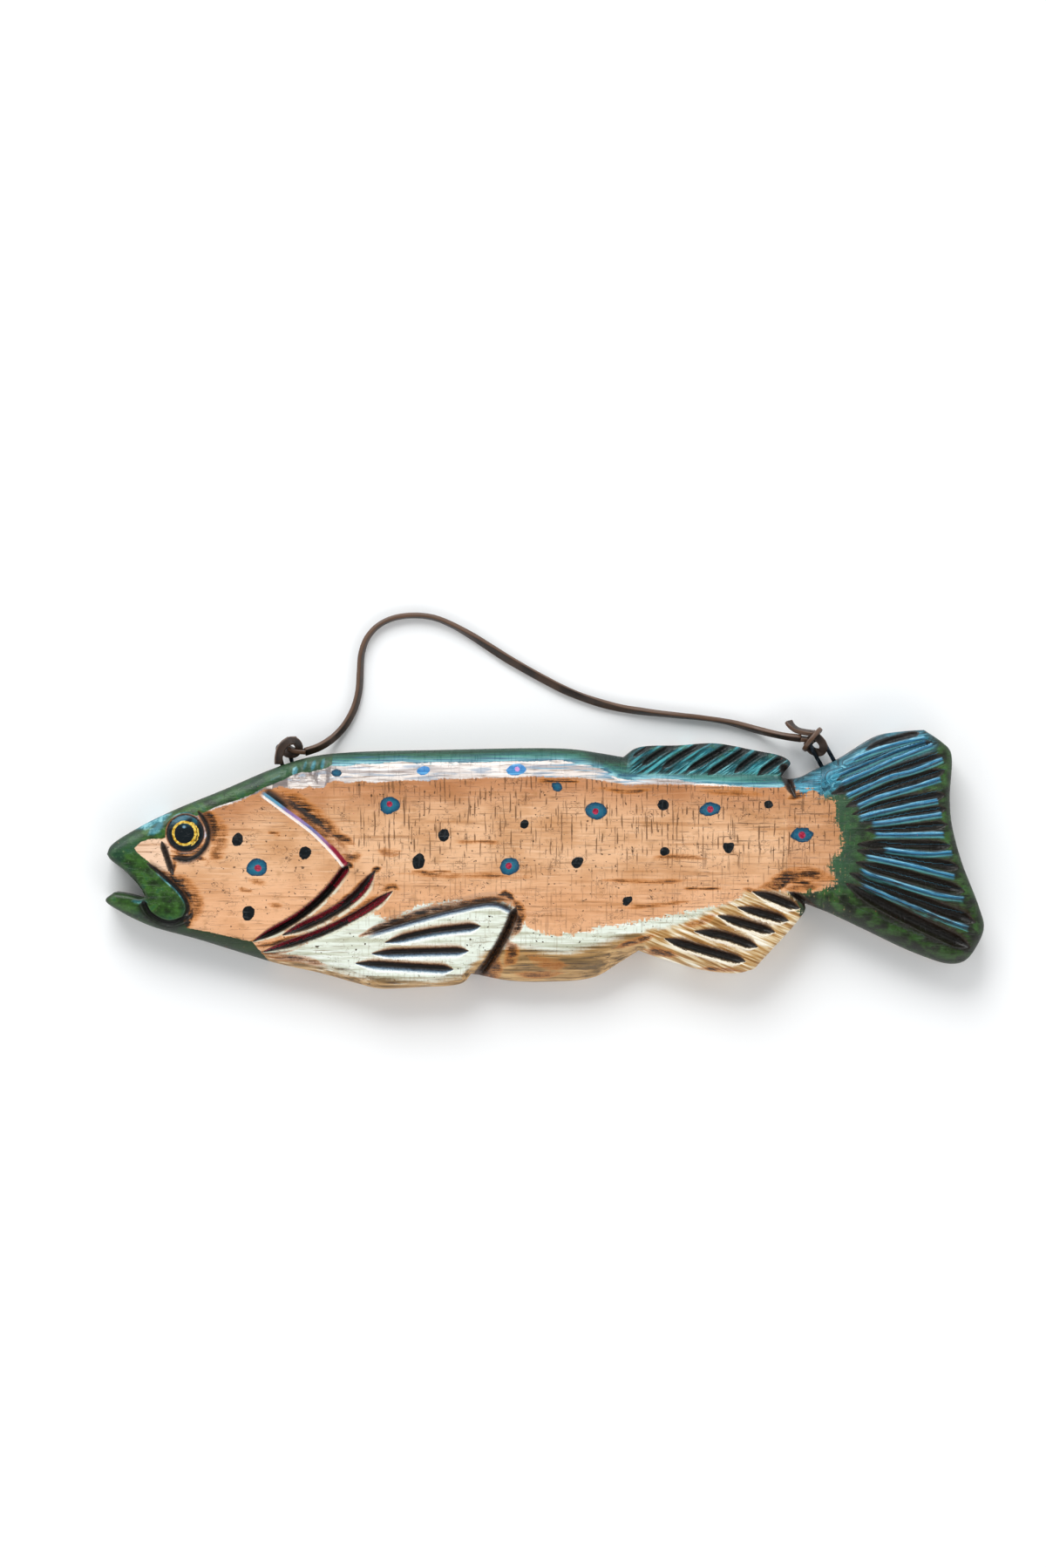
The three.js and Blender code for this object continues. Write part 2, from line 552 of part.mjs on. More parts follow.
// The tail knot: a wrap across the front, a lobe on its right, a wrap behind and the free end of the lace
const TAIL_KNOT = [
  { points: [[111.6, 51.6, 6], [111.4, 52, 9.4], [109.6, 50.2, 12], [107, 47, 11.8], [106.4, 45.4, 8.6],
    [107.4, 45.6, 5.6]], face: [0.75, -0.65, 0.1] },
  { points: [[107.4, 51, 9.6], [110.8, 49.6, 9.8], [113.4, 46.2, 9.2], [112.6, 43.6, 7.6], [109.4, 44, 6.6],
    [107.4, 46, 6.6]], face: [0, 0, 1] },
  { points: [[107, 46, 5.6], [109, 49, 4.6], [111.2, 51.6, 5.6]], face: [0.4, 0, 1] },
  { points: [[109.6, 51.2, 9.2], [106.4, 51.6, 8.8], [102.6, 52.6, 8.4], [100.2, 54.6, 7.8], [99.4, 56, 7.2]],
    face: [0, 1, 0.4] },
  { points: [[109.6, 48.4, 8.2], [107.2, 48.7, 8.3], [104.8, 49, 8.4]], face: [0, 1, 0.4] },
];

// The knot's straps as one solid, clear of the staple and of the lace, without crumbs
function knotSolid(straps, rooms) {
  const whole = straps.map(({ points, face }) => strap(points, face)).reduce((sum, piece) => sum.add(piece));
  const parts = rooms.reduce((solid, room) => solid.subtract(room), whole).decompose();
  return parts.reduce((best, piece) => (piece.volume() > best.volume() ? piece : best));
}

function toGeometry(solid) {
  const { vertProperties, triVerts } = solid.getMesh();
  const geometry = new THREE.BufferGeometry();
  geometry.setAttribute('position', new THREE.BufferAttribute(vertProperties, 3));
  geometry.setIndex(new THREE.BufferAttribute(triVerts, 1));
  geometry.computeVertexNormals();
  return geometry;
}

function addPiece(group, name, geometry, material) {
  const mesh = new THREE.Mesh(geometry, material);
  mesh.name = name;
  group.add(mesh);
}

const WOOD_PAINTED = new THREE.MeshStandardMaterial({ color: 0xd6a67c, roughness: 0.5, metalness: 0 });
const LEATHER = new THREE.MeshStandardMaterial({ color: 0x2a1a10, roughness: 0.6, metalness: 0 });
const BLACK_WIRE = new THREE.MeshStandardMaterial({ color: 0x24262a, roughness: 0.45, metalness: 0.8 });

const group = new THREE.Group();
const staples = Object.entries(STAPLES).map(([end, staple]) => {
  const path = staplePath(staple);
  return { end, wire: stapleSolid(path, WIRE / 2), room: stapleSolid(path, WIRE / 2 + 1.2 * CLEARANCE, CLEARANCE) };
});

const cuts = [
  finShelf(), eyeRing(), ...staples.map(({ room }) => room),
  ...[TAIL_CUTS, ANAL_CUTS, PECTORAL_CUTS, DORSAL_CUTS, HEAD_CUTS, FIN_CUTS].flat().map(gouge),
];
const carved = cuts.reduce((body, cut) => body.subtract(cut), boardSolid());

addPiece(group, 'fish_body', toGeometry(carved), WOOD_PAINTED);
staples.forEach(({ end, wire }) => addPiece(group, `staple_${end}`, toGeometry(wire), BLACK_WIRE));
addPiece(group, 'knot_head', toGeometry(knotSolid(HEAD_KNOT, [staples[0].room, laceRoom(0)])), LEATHER);
addPiece(group, 'knot_tail', toGeometry(knotSolid(TAIL_KNOT, [staples[1].room, laceRoom(1)])), LEATHER);
addPiece(group, 'lace', laceGeometry(), LEATHER);

export default group;
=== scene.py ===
"""A painted wooden fish on a leather lace, lying on its back face on a pale table, seen from straight above.

All tables are in millimetres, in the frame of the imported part: +X to the tail, +Y to the dorsal fin, +Z up
from the table. Blender's own units are metres.
"""
import math

import bpy
import numpy as np
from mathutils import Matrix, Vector, geometry, kdtree


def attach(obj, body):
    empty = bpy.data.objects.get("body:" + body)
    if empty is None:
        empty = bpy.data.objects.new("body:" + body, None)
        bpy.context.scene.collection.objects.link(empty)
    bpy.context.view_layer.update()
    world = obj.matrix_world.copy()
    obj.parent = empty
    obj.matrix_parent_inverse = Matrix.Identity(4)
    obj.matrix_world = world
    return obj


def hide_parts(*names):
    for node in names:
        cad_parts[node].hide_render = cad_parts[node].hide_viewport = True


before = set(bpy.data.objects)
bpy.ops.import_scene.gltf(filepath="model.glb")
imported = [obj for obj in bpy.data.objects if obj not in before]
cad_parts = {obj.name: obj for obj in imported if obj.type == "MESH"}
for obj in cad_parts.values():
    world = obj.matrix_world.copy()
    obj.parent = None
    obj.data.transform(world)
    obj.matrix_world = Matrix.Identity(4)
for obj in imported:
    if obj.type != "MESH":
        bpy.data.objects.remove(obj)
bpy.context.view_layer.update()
MM = 0.001

# Sizes of the board and of its rounded front rim
BOARD = 19
BACK_EDGE_INSET = 1.6
BACK_EDGE_HEIGHT = 2
RIM_SLOPE = 0.68
RIM_MIN_DROP = 0.8
RIM_MAX_DROP = 8.6

# How finely the board is meshed
EDGE_STEP = 0.8
FINE = 0.5
BACK_STEP = 3.2
RING_INSETS = [0.12, 0.34, 0.7, 1.15]

# The sawn outline, clockwise from the nose: x, y and the width of the rounded rim, corner to corner
OUTLINE = [
    [[-177.4, 2.2, 3], [-176, 5.4, 4], [-165, 12.8, 6], [-150, 20.2, 6.5], [-130, 28.4, 6], [-110, 36.9, 6.5],
     [-95, 41.6, 8.5], [-80, 43.4, 11.5], [-45, 44.4, 12.5], [9, 44.9, 12.5], [22, 43.2, 11.5], [32, 41.5, 8]],
    [[32, 41.5, 8], [38, 45.4, 2.5], [55, 46.3, 2], [69, 47.1, 2], [84, 44.5, 2], [97.5, 41.3, 2],
     [99.7, 39, 1.8], [98.5, 36.9, 1.8], [96, 33.5, 2]],
    [[96, 33.5, 2], [98.5, 32.6, 6], [104, 33.3, 8], [110, 36.2, 7], [120, 41, 5], [135.8, 50.3, 3],
     [145, 51.9, 2.5], [153.5, 52.5, 2.5]],
    [[153.5, 52.5, 2.5], [161, 47.4, 2.5], [164.5, 43.5, 3], [164.1, 25, 3], [164.8, 15, 3], [168.6, 0, 3],
     [176.2, -20, 3], [178, -27.3, 3.5], [175.5, -34.5, 4], [170.5, -41, 5], [164.4, -42.4, 6],
     [150, -38, 6.5], [130, -28.6, 7], [115, -21.6, 7], [105.5, -17.9, 4]],
    [[105.5, -17.9, 4], [105.4, -20.6, 2.5], [84.8, -44.4, 2]],
    [[84.8, -44.4, 2], [78, -46.1, 4], [65, -45.1, 6], [50, -41.2, 7], [38.1, -37.1, 8]],
    [[38.1, -37.1, 8], [30, -42.3, 13], [20, -48, 16], [0, -49.9, 18], [-15, -49.3, 16], [-29.9, -46.5, 8]],
    [[-29.9, -46.5, 8], [-32.5, -49.6, 4], [-36, -50.9, 4.5], [-50, -51.8, 5], [-67, -52.42, 6], [-74, -51, 8],
     [-90, -46.6, 11], [-110, -42, 10], [-140, -32.7, 7], [-160, -27, 6], [-172, -21.2, 5], [-178, -16.5, 3],
     [-174.4, -13.3, 2.5]],
    [[-174.4, -13.3, 2.5], [-169, -14.2, 2], [-163.6, -15.5, 1.5], [-161.8, -15, 1.5]],
    [[-161.8, -15, 1.5], [-163.6, -11.6, 1.5], [-170, -4.8, 2.5], [-176, 0, 3], [-177.4, 2.2, 3]],
]

# The carving: path, half widths to the left and the right of it, depth, and the lengths of its two fades
def fan_cut(path, width):
    return [path, width / 2, width / 2, 0.5 * width, [2.6 * width, 1.4 * width]]


TAIL_CUTS = [fan_cut(row[:3], row[3]) for row in [
    [[129.5, 44.2], [140, 48.3], [151.6, 51.2], 2.4],
    [[118, 32], [135, 40.7], [156.8, 47.4], 3],
    [[116, 26.6], [136, 34], [160.5, 42], 4.3],
    [[122, 21.4], [140, 29.4], [161.5, 36], 4.5],
    [[124.5, 18.3], [140, 22.8], [161.8, 26.2], 4.1],
    [[127, 15.3], [142, 17.6], [162.3, 20.6], 3.6],
    [[129.5, 11.9], [145, 12.6], [162.8, 14.2], 3.7],
    [[126.5, 6.1], [145, 6.1], [164, 5.4], 4],
    [[126.5, 3.6], [145, 0.7], [167.6, -3.3], 4.2],
    [[126, -1.2], [145, -6], [169.6, -13], 4.8],
    [[123.5, -5.6], [145, -14.2], [174, -25.4], 5],
    [[122, -9.8], [145, -22.6], [172, -35.6], 5.4],
]]

ANAL_CUTS = [fan_cut(path, 3.7) for path in [
    [[84, -13], [93, -15.8], [103, -19.8]],
    [[78, -19.3], [88, -21.8], [98.4, -24.8]],
    [[70, -22.7], [81, -26], [93, -29.4]],
    [[60.6, -29], [72, -30.7], [86, -35.4]],
    [[48.5, -32], [64, -36.5], [81, -41.2]],
]]

PECTORAL_CUTS = [fan_cut(path, 3.6) for path in [
    [[-64.5, -33.6], [-46, -29.4], [-26, -27]],
    [[-70, -38.1], [-50, -37.4], [-31, -37]],
    [[-76.5, -42], [-57, -43.3], [-37, -44.5]],
]]

DORSAL_CUTS = [[row[:3], row[3] / 2, row[3] / 2, 0.62 * row[3], [1.6 * row[3], 0]] for row in [
    [[35.6, 41.4], [39.5, 44], [44, 46.8], 1.6],
    [[39.2, 38], [46, 42.9], [55, 47.6], 2.4],
    [[47.6, 37], [56, 42.6], [68, 49], 2.4],
    [[57.6, 35.8], [67, 41.5], [79.5, 48.6], 2.6],
    [[66, 34.2], [75, 40.3], [86, 47.6], 2.6],
    [[76.8, 35], [84, 40.8], [92.5, 46], 2.6],
    [[86.2, 34], [92, 38.3], [100, 43], 2.8],
]]

GILL_CUT = [[[-115, 27.2], [-105.6, 20.2], [-93.4, 11], [-84.4, 1.8], [-80.6, -3]], 5, 0.9, 2.4, [9, 1.5]]
SLITS = [
    [[[-79.6, -2.6], [-88.6, -13.8], [-100, -23.4], [-118, -33.2]], 1.6, 1.6, 2.8, [2, 12]],
    [[[-68.6, -4.4], [-75.5, -13.5], [-85.5, -21], [-106, -30.6]], 2, 1.7, 2.3, [9, 12]],
    [[[-61.6, -12.8], [-74.5, -21.4], [-90, -29.2], [-114, -37.4]], 1.7, 1.4, 2, [9, 14]],
]
SOCKET_CUT = [[[-140.5, 19.8], [-137.2, 15.5], [-135.8, 9.6], [-138, 3.8], [-144, -0.4], [-151, 0.6]],
              1.2, 1.2, 1.1, [4, 4], "sharp"]
SNOUT_CUT = [[[-155, 7.4], [-152.8, 1], [-150.2, -6.6]], 1.1, 1.1, 1.2, [3, 4], "sharp"]
HINGE_CUT = [[[-161.4, -1.2], [-152, -9], [-146.3, -15.2], [-144.6, -20.4], [-147, -24]], 2.6, 0.8, 1.7, [5, 4]]
JAW_CUT = [[[-162.5, -16.6], [-159.4, -22], [-152, -25.4], [-143.5, -22.6]], 0.9, 1.8, 1.7, [1.5, 4]]
FIN_TOP_CUT = [[[-73.5, -30.8], [-55, -25.3], [-35.4, -20.2], [-20, -17.8], [-12.2, -21]], 4.6, 0.9, 2, [14, 3]]
FIN_REAR_CUT = [[[-11.6, -19.4], [-14.6, -27.6], [-21, -39.2], [-29, -50]], 1.8, 1.8, 3.2, [4, 0], "sharp"]
ROOT_CUT = [[[98.8, -13.2], [102.6, -15.4], [108, -20]], 1.4, 1, 2.4, [4, 0], "sharp"]
NOTCH_CUT = [[[97.2, 37], [99, 31], [101.4, 25]], 1.4, 1.8, 2.4, [0, 6], "sharp"]
EYE = (-145.4, 10.6)
EYE_RING = [7.6, 0.6, 0.7]

# The dorsal fin lies below the face: x, the y where the slope down to it starts, and how far down it is
FIN_SHELF = [[23, 34.5, 0], [31, 31.4, 2.6], [40, 30.8, 4.2], [70, 30.2, 4.6], [92, 29.6, 4.4], [99, 30, 3.2],
             [106, 31, 0]]
SHELF_SLOPE = 5.5


def smooth(points, step):
    """Points about step apart on the curve that runs smoothly through the given ones."""
    given = np.array(points, float)
    p = np.vstack([2 * given[0] - given[1], given, 2 * given[-1] - given[-2]])
    run = []
    for a, b, c, d in zip(p, p[1:], p[2:], p[3:]):
        da, db, dc = [math.sqrt(np.linalg.norm(v)) for v in (b - a, c - b, d - c)]
        start = ((b - a) / da - (c - a) / (da + db) + (c - b) / db) * db
        end = ((c - b) / db - (d - b) / (db + dc) + (d - c) / dc) * db
        t = np.linspace(0, 1, 40, endpoint=False)[:, None]
        run.append(b * (2 * t**3 - 3 * t**2 + 1) + start * (t**3 - 2 * t**2 + t)
                   + c * (3 * t**2 - 2 * t**3) + end * (t**3 - t**2))
    run = np.vstack([*run, given[-1:]])
    lengths = np.concatenate([[0], np.cumsum(np.linalg.norm(np.diff(run, axis=0), axis=1))])
    count = max(2, round(lengths[-1] / step) + 1)
    at = np.linspace(0, lengths[-1], count)
    return np.column_stack([np.interp(at, lengths, column) for column in run.T])


def along(points, line, closed=False):
    """For each point: how far it is from a line, signed (left is positive), and how far along the nearest place
    on the line is."""
    line = np.asarray(line, float)[:, :2]
    a = line if closed else line[:-1]
    b = np.roll(line, -1, axis=0) if closed else line[1:]
    chord = b - a
    length = np.linalg.norm(chord, axis=1)
    starts = np.concatenate([[0], np.cumsum(length)[:-1]])
    distance, run = np.empty(len(points)), np.empty(len(points))
    for first in range(0, len(points), 4000):
        part = points[first:first + 4000, None, :]
        share = np.clip(((part - a) * chord).sum(2) / length**2, 0, 1)
        away = part - a - share[:, :, None] * chord
        gap = np.linalg.norm(away, axis=2)
        near = gap.argmin(1)
        rows = np.arange(len(near))
        offset, way = away[rows, near], chord[near]
        side = np.where(way[:, 0] * offset[:, 1] - way[:, 1] * offset[:, 0] >= 0, 1, -1)
        distance[first:first + 4000] = side * gap[rows, near]
        run[first:first + 4000] = starts[near] + share[rows, near] * length[near]
    return distance, run


def inside(points, loop):
    """Which points lie within a closed loop."""
    within = np.zeros(len(points), bool)
    for a, b in zip(loop, np.roll(loop, -1, axis=0)):
        if a[1] == b[1]:
            continue
        crosses = (a[1] > points[:, 1]) != (b[1] > points[:, 1])
        within ^= crosses & (points[:, 0] < a[0] + (points[:, 1] - a[1]) / (b[1] - a[1]) * (b[0] - a[0]))
    return within


def region(points, loop):
    """How far inside a closed loop each point is, negative outside."""
    loop = np.array(loop, float)
    distance = np.abs(along(points, loop, closed=True)[0])
    return np.where(inside(points, loop), distance, -distance)


def ease(value, low, high):
    """Rises smoothly from 0 to 1 as the value goes from low to high."""
    t = np.clip((value - low) / (high - low), 0, 1)
    return t * t * (3 - 2 * t)


class Cut:
    """One cut and, for every point, where the point is in it."""

    def __init__(self, points, path, left, right, depth, ramps, sharp=None):
        line = smooth(path, 1.5)
        length = np.linalg.norm(np.diff(line, axis=0), axis=1).sum()
        reach = 12
        low, high = line.min(0) - reach, line.max(0) + reach
        near = ((points > low) & (points < high)).all(1)
        self.across = np.full(len(points), 99.0)
        self.run = np.zeros(len(points))
        self.across[near], self.run[near] = along(points[near], line)
        self.share = np.ones(len(points))
        for distance, ramp in zip((self.run, length - self.run), ramps):
            if ramp:
                self.share *= np.sin(math.pi / 2 * np.clip(distance / ramp, 0, 1))
        self.length = length
        squeeze = 0.12 + 0.88 * self.share
        self.place = np.where(self.across > 0, self.across / left, self.across / right) / squeeze
        dip = 1 - np.abs(self.place) if sharp else 1 - self.place**2
        self.depth = depth * self.share * np.clip(dip, 0, 1)

    def band(self, low, high, soft=0.25):
        """1 where the point lies between two places across the cut (-1 its right edge, 1 its left), fading out."""
        ends = ease(self.run, 0, 2.5) * ease(self.length - self.run, 0, 2)
        return ease(self.place, low - soft, low + soft) * ease(-self.place, -high - soft, -high + soft) * ends


outline = np.vstack([smooth(row, EDGE_STEP)[:-1] for row in OUTLINE])[::-1]
EDGE = outline[:, :2]
EDGE_TREE = kdtree.KDTree(len(EDGE))
for number, (x, y) in enumerate(EDGE):
    EDGE_TREE.insert((x, y, 0), number)
EDGE_TREE.balance()


def rim_at(points):
    """How far inside the outline each point is, the rim width there and the place along the outline."""
    near = np.array([EDGE_TREE.find((x, y, 0))[1] for x, y in points])
    steps = np.linalg.norm(np.roll(EDGE, -1, axis=0) - EDGE, axis=1)
    starts = np.concatenate([[0], np.cumsum(steps)])
    best = np.full(len(points), np.inf)
    run = np.zeros(len(points))
    for back in (1, 0):
        first = (near - back) % len(EDGE)
        a, b = EDGE[first], EDGE[(first + 1) % len(EDGE)]
        share = np.clip(((points - a) * (b - a)).sum(1) / steps[first]**2, 0, 1)
        gap = np.linalg.norm(points - a - share[:, None] * (b - a), axis=1)
        run = np.where(gap < best, starts[first] + share * steps[first], run)
        best = np.minimum(best, gap)
    rims = np.append(outline[:, 2], outline[0, 2])
    return np.where(inside(points, EDGE), best, -best), np.interp(run, starts, rims), run


def rim_drop(inset, rim):
    u = np.clip(1 - inset / rim, 0, 1)
    return np.minimum(RIM_SLOPE * rim + RIM_MIN_DROP, RIM_MAX_DROP) * (1 - np.sqrt(1 - u * u))


def shelf_drop(points):
    x, start, deep = np.array(FIN_SHELF, float).T
    s = np.clip((points[:, 1] - np.interp(points[:, 0], x, start)) / SHELF_SLOPE, 0, 1)
    return np.interp(points[:, 0], x, deep, left=0, right=0) * s * (2 - s)


def edge_inward(loop):
    """Unit vectors into the board at each point of a counterclockwise loop."""
    way = np.roll(loop, -1, axis=0) - np.roll(loop, 1, axis=0)
    way /= np.linalg.norm(way, axis=1)[:, None]
    return np.column_stack([-way[:, 1], way[:, 0]])


def offset_loop(inset):
    """The outline moved inwards, point for point; where it would fold over itself the points close up."""
    moved = EDGE + inset * edge_inward(EDGE)
    true = np.abs(rim_at(moved)[0] - inset) < 0.04 * inset
    spots = np.flatnonzero(true)
    index = np.arange(len(EDGE))
    count = len(EDGE)
    wrapped = np.concatenate([spots - count, spots, spots + count])
    return np.column_stack([np.interp(index, wrapped, moved[wrapped % count, k]) for k in range(2)])


def hex_points(step, low, high):
    """A triangular grid over a box, and which of its points are also on the grid of twice the step."""
    rows = np.arange(low[1], high[1], step * math.sqrt(3) / 2)
    columns = np.arange(low[0], high[0], step)
    i, j = np.meshgrid(np.arange(len(columns)), np.arange(len(rows)))
    points = np.column_stack([(columns[i] + step / 2 * (j % 2)).ravel(), rows[j].ravel()])
    return points, ((j % 2 == 0) & ((i + j // 2) % 2 == 0)).ravel()


def triangulate(border, inner):
    """Triangles over the border loop and the points inside it."""
    count = len(border)
    points = [Vector(p) for p in np.vstack([border, inner])]
    edges = [(i, (i + 1) % count) for i in range(count)]
    verts, _, faces, *_ = geometry.delaunay_2d_cdt(points, edges, [], 1, 1e-6, False)
    assert len(verts) == len(points)
    faces, verts = np.array(faces), np.array(verts)
    faces = faces[inside(verts[faces].mean(1), border)]
    a, b, c = (verts[faces[:, k]] for k in range(3))
    turn = (b[:, 0] - a[:, 0]) * (c[:, 1] - a[:, 1]) - (b[:, 1] - a[:, 1]) * (c[:, 0] - a[:, 0])
    faces[turn < 0] = faces[turn < 0][:, ::-1]
    return faces


ALL_CUTS = [*TAIL_CUTS, *ANAL_CUTS, *PECTORAL_CUTS, *DORSAL_CUTS, GILL_CUT, *SLITS, SOCKET_CUT, SNOUT_CUT,
            HINGE_CUT, JAW_CUT, FIN_TOP_CUT, FIN_REAR_CUT, ROOT_CUT, NOTCH_CUT]


def front_points():
    """Points inside the outline: rings along it, then a grid that is finer where the wood is carved."""
    rings = []
    for inset in RING_INSETS:
        ring = EDGE + inset * edge_inward(EDGE)
        rings.append(ring[np.abs(rim_at(ring)[0] - inset) < 0.02])
    grid, coarse = hex_points(FINE, EDGE.min(0), EDGE.max(0))
    inset, rim, _ = rim_at(grid)
    worked = (inset < rim + 0.5) & (inset < 7) | (np.hypot(*(grid - EYE).T) < 9.5) | (shelf_drop(grid) > 0)
    for path, left, right, *_ in ALL_CUTS:
        line = smooth(path, 2)
        box = np.flatnonzero(((grid > line.min(0) - 7) & (grid < line.max(0) + 7)).all(1))
        across = along(grid[box], line)[0]
        worked[box[(across < left + 0.8) & (across > -right - 0.8)]] = True
    return np.vstack([*rings, grid[(worked | coarse) & (inset > RING_INSETS[-1] + 0.5 * FINE)]])


# Where the paint lies: closed regions, and edges given as y over x
HEAD_GREEN = [
    (-86, 60), (-86, 38.3), (-88.5, 36.9), (-92, 36), (-95.3, 35.2), (-98, 35.3), (-101, 34.6), (-105.1, 32.5),
    (-110, 30.3), (-113.1, 29.3), (-118, 26.6), (-123.2, 24.4), (-128, 22.9), (-133, 21.3), (-138, 18.9),
    (-140.5, 17.6), (-145, 18.4), (-150, 17), (-152.8, 13.5), (-153.5, 9), (-154, 8.5), (-160, 8.2),
    (-163.5, 7), (-166, 4.5), (-164.5, 2.5), (-160, -1), (-158, -3.5), (-156.5, -5.8), (-152, -9),
    (-149, -11.5), (-146.5, -15), (-145, -18), (-144.8, -20), (-145.6, -22.5), (-146.2, -25), (-145, -27.6),
    (-135, -29.4), (-125, -31.8), (-118.3, -33.2), (-114, -38.6), (-108, -46), (-150, -80), (-200, -60),
    (-200, 60),
]
TAIL_GREEN = [
    (99, 70), (98.5, 39), (97.4, 33), (98.6, 31), (101, 28.3), (104.3, 25.6), (106.5, 28), (108.5, 28.3),
    (110.5, 25.5), (113.5, 24), (116.7, 23.5), (117, 20), (117.1, 16.7), (118.4, 12), (119.4, 8.5),
    (119.8, 5.3), (118.5, 3), (117.1, 1.9), (115, -0.5), (114.2, -3.5), (116, -5.5), (117.1, -8.9),
    (112.3, -11.6), (106.9, -12), (102.2, -13), (98.5, -14), (104, -26), (190, -60), (190, 70),
]
BELLY = [
    (-122, -40), (-118, -36), (-114, -38), (-104, -34.9), (-91, -30.8), (-80, -26), (-76.5, -23.6),
    (-73.7, -23.4), (-71, -22), (-68.7, -21.9), (-66, -23.2), (-63.6, -24.1), (-61, -23.4), (-59.3, -22.7),
    (-55.7, -20.5), (-50.6, -17.8), (-40, -17), (-20, -16), (-11.5, -20), (-11, -24.5), (-9.5, -24.8),
    (-6.5, -27), (-3.5, -28), (-0.2, -29.9), (5, -30.4), (8, -29.6), (12, -30.2), (18, -28.7), (23, -26.6),
    (33, -25.6), (43.2, -24), (50, -22.6), (54.7, -21.2), (60.8, -19.9), (66.2, -18.9), (73, -17.6),
    (76, -17.4), (82, -13.4), (92, -12.8), (100, -13.2), (108, -20), (112, -60), (-130, -60),
]
ANAL_FIN = [
    (40, -28), (48, -27.5), (56, -25.6), (63, -22.2), (70, -19.4), (76, -16.6), (83, -12.6), (92, -12.4),
    (100, -13.6), (108, -20), (86, -50), (40, -50),
]
WHITE_EDGE = [
    (-140, 17.6), (-133, 20.7), (-123, 23.8), (-113, 28.5), (-110.5, 28.4), (-107.5, 29.6), (-104, 28.9),
    (-101, 28.8), (-98, 28.5), (-95.5, 29.9), (-92.5, 28.8), (-89.5, 29), (-87.5, 31.2), (-84.5, 32), (-79.5, 30.8),
    (-74, 31.6), (-68.7, 31), (-61, 31.8), (-54.2, 32.1), (-47, 31.7), (-42, 32.7), (-33, 32.6), (-21.8, 33.2),
    (-12, 33.3), (-3.8, 33.6), (6, 33.1), (14.2, 33.2), (25, 31.7), (33.6, 29.9), (42, 30.6), (50, 30.3),
    (69, 29.9), (87, 28.9), (96.3, 29.1), (98, 31),
]
BLUE_EDGE = [
    (-90, 38), (-79.5, 37.9), (-74, 38.9), (-68.7, 38.6), (-63, 39.2), (-58, 39.7), (-51, 38.5), (-43.4, 38.9),
    (-29, 38.7), (-14.6, 39.7), (-3.8, 39.3), (7, 39.7), (13, 38.6), (17.8, 38), (22, 36.5), (25, 35.2),
    (28.7, 33.4), (33.6, 31.9), (39, 32.8), (47, 33), (54, 32), (60, 31.1), (69, 30.5), (75, 30), (87, 29.2),
    (96.3, 29.4), (98, 31),
]
GREEN_EDGE = [(-110, 35), (-100, 38.5), (-90, 40.8), (-79.5, 40.9), (-60, 41.4), (-43, 41.6), (-10, 43.3),
              (0, 43.3), (12, 42.4), (20, 40.4), (26, 38), (33, 36.5), (37, 60)]
WASH_EDGE = [
    (-124, -32), (-118, -35.8), (-110, -38.8), (-100, -40.9), (-90, -43), (-80, -45.6), (-70, -47.6), (-60, -48.6),
    (-45, -48.4), (-34, -46.8), (-28, -40), (-22, -35.5), (-10, -34.6), (0, -36.6), (10, -37), (20, -34.6),
    (27, -32.2), (34, -29.8), (43, -28), (50, -28.6), (58, -30),
]

# Ridges of the tail fan, each along its middle
RIDGES = [
    [(122, 39), (130, 42.5), (140, 45.8), (155, 49.2)],
    [(116.5, 33), (130, 38.3), (145, 44.5), (155, 47.8)],
    [(118, 29.6), (130, 35), (140, 39.5), (158, 46.7)],
    [(120, 24.5), (130, 29), (140, 33.2), (150, 36), (162, 40.8)],
    [(124.5, 20.5), (135, 24.8), (150, 29.2), (161, 32.8)],
    [(125, 16), (135, 18.7), (150, 22), (160, 23.8)],
    [(130, 14), (140, 15), (150, 16.6), (161.5, 18.2)],
    [(131, 10), (140, 9.8), (162.5, 10)],
    [(135, 4.3), (145, 2.8), (155, 2), (166, 2.7)],
    [(127, 1.5), (140, -1), (150, -3.2), (160, -5.8), (167, -7.3)],
    [(125, -2.5), (130, -5.8), (140, -9), (148, -11.5), (160, -14.8), (171, -16.3)],
    [(125, -9), (135, -13.5), (150, -19.8), (160, -24), (173, -28.5)],
]

# How strongly each ridge shows its blue dry-brush and painted highlight
RIDGE_BLUE_AND_HIGHLIGHT = [0.8, 0.9, 1, 1, 1, 1, 1, 0.85, 0.75, 0.7, 0.55, 0.42]
# A facet beside the eye, where a pale painted highlight lies
EYE_FACET_HIGHLIGHT = [(-142.4, 17.6), (-140.2, 17.4), (-137.6, 13.2), (-136.6, 9.6), (-138.2, 7.6), (-139, 10.4), (-140.4, 14)]

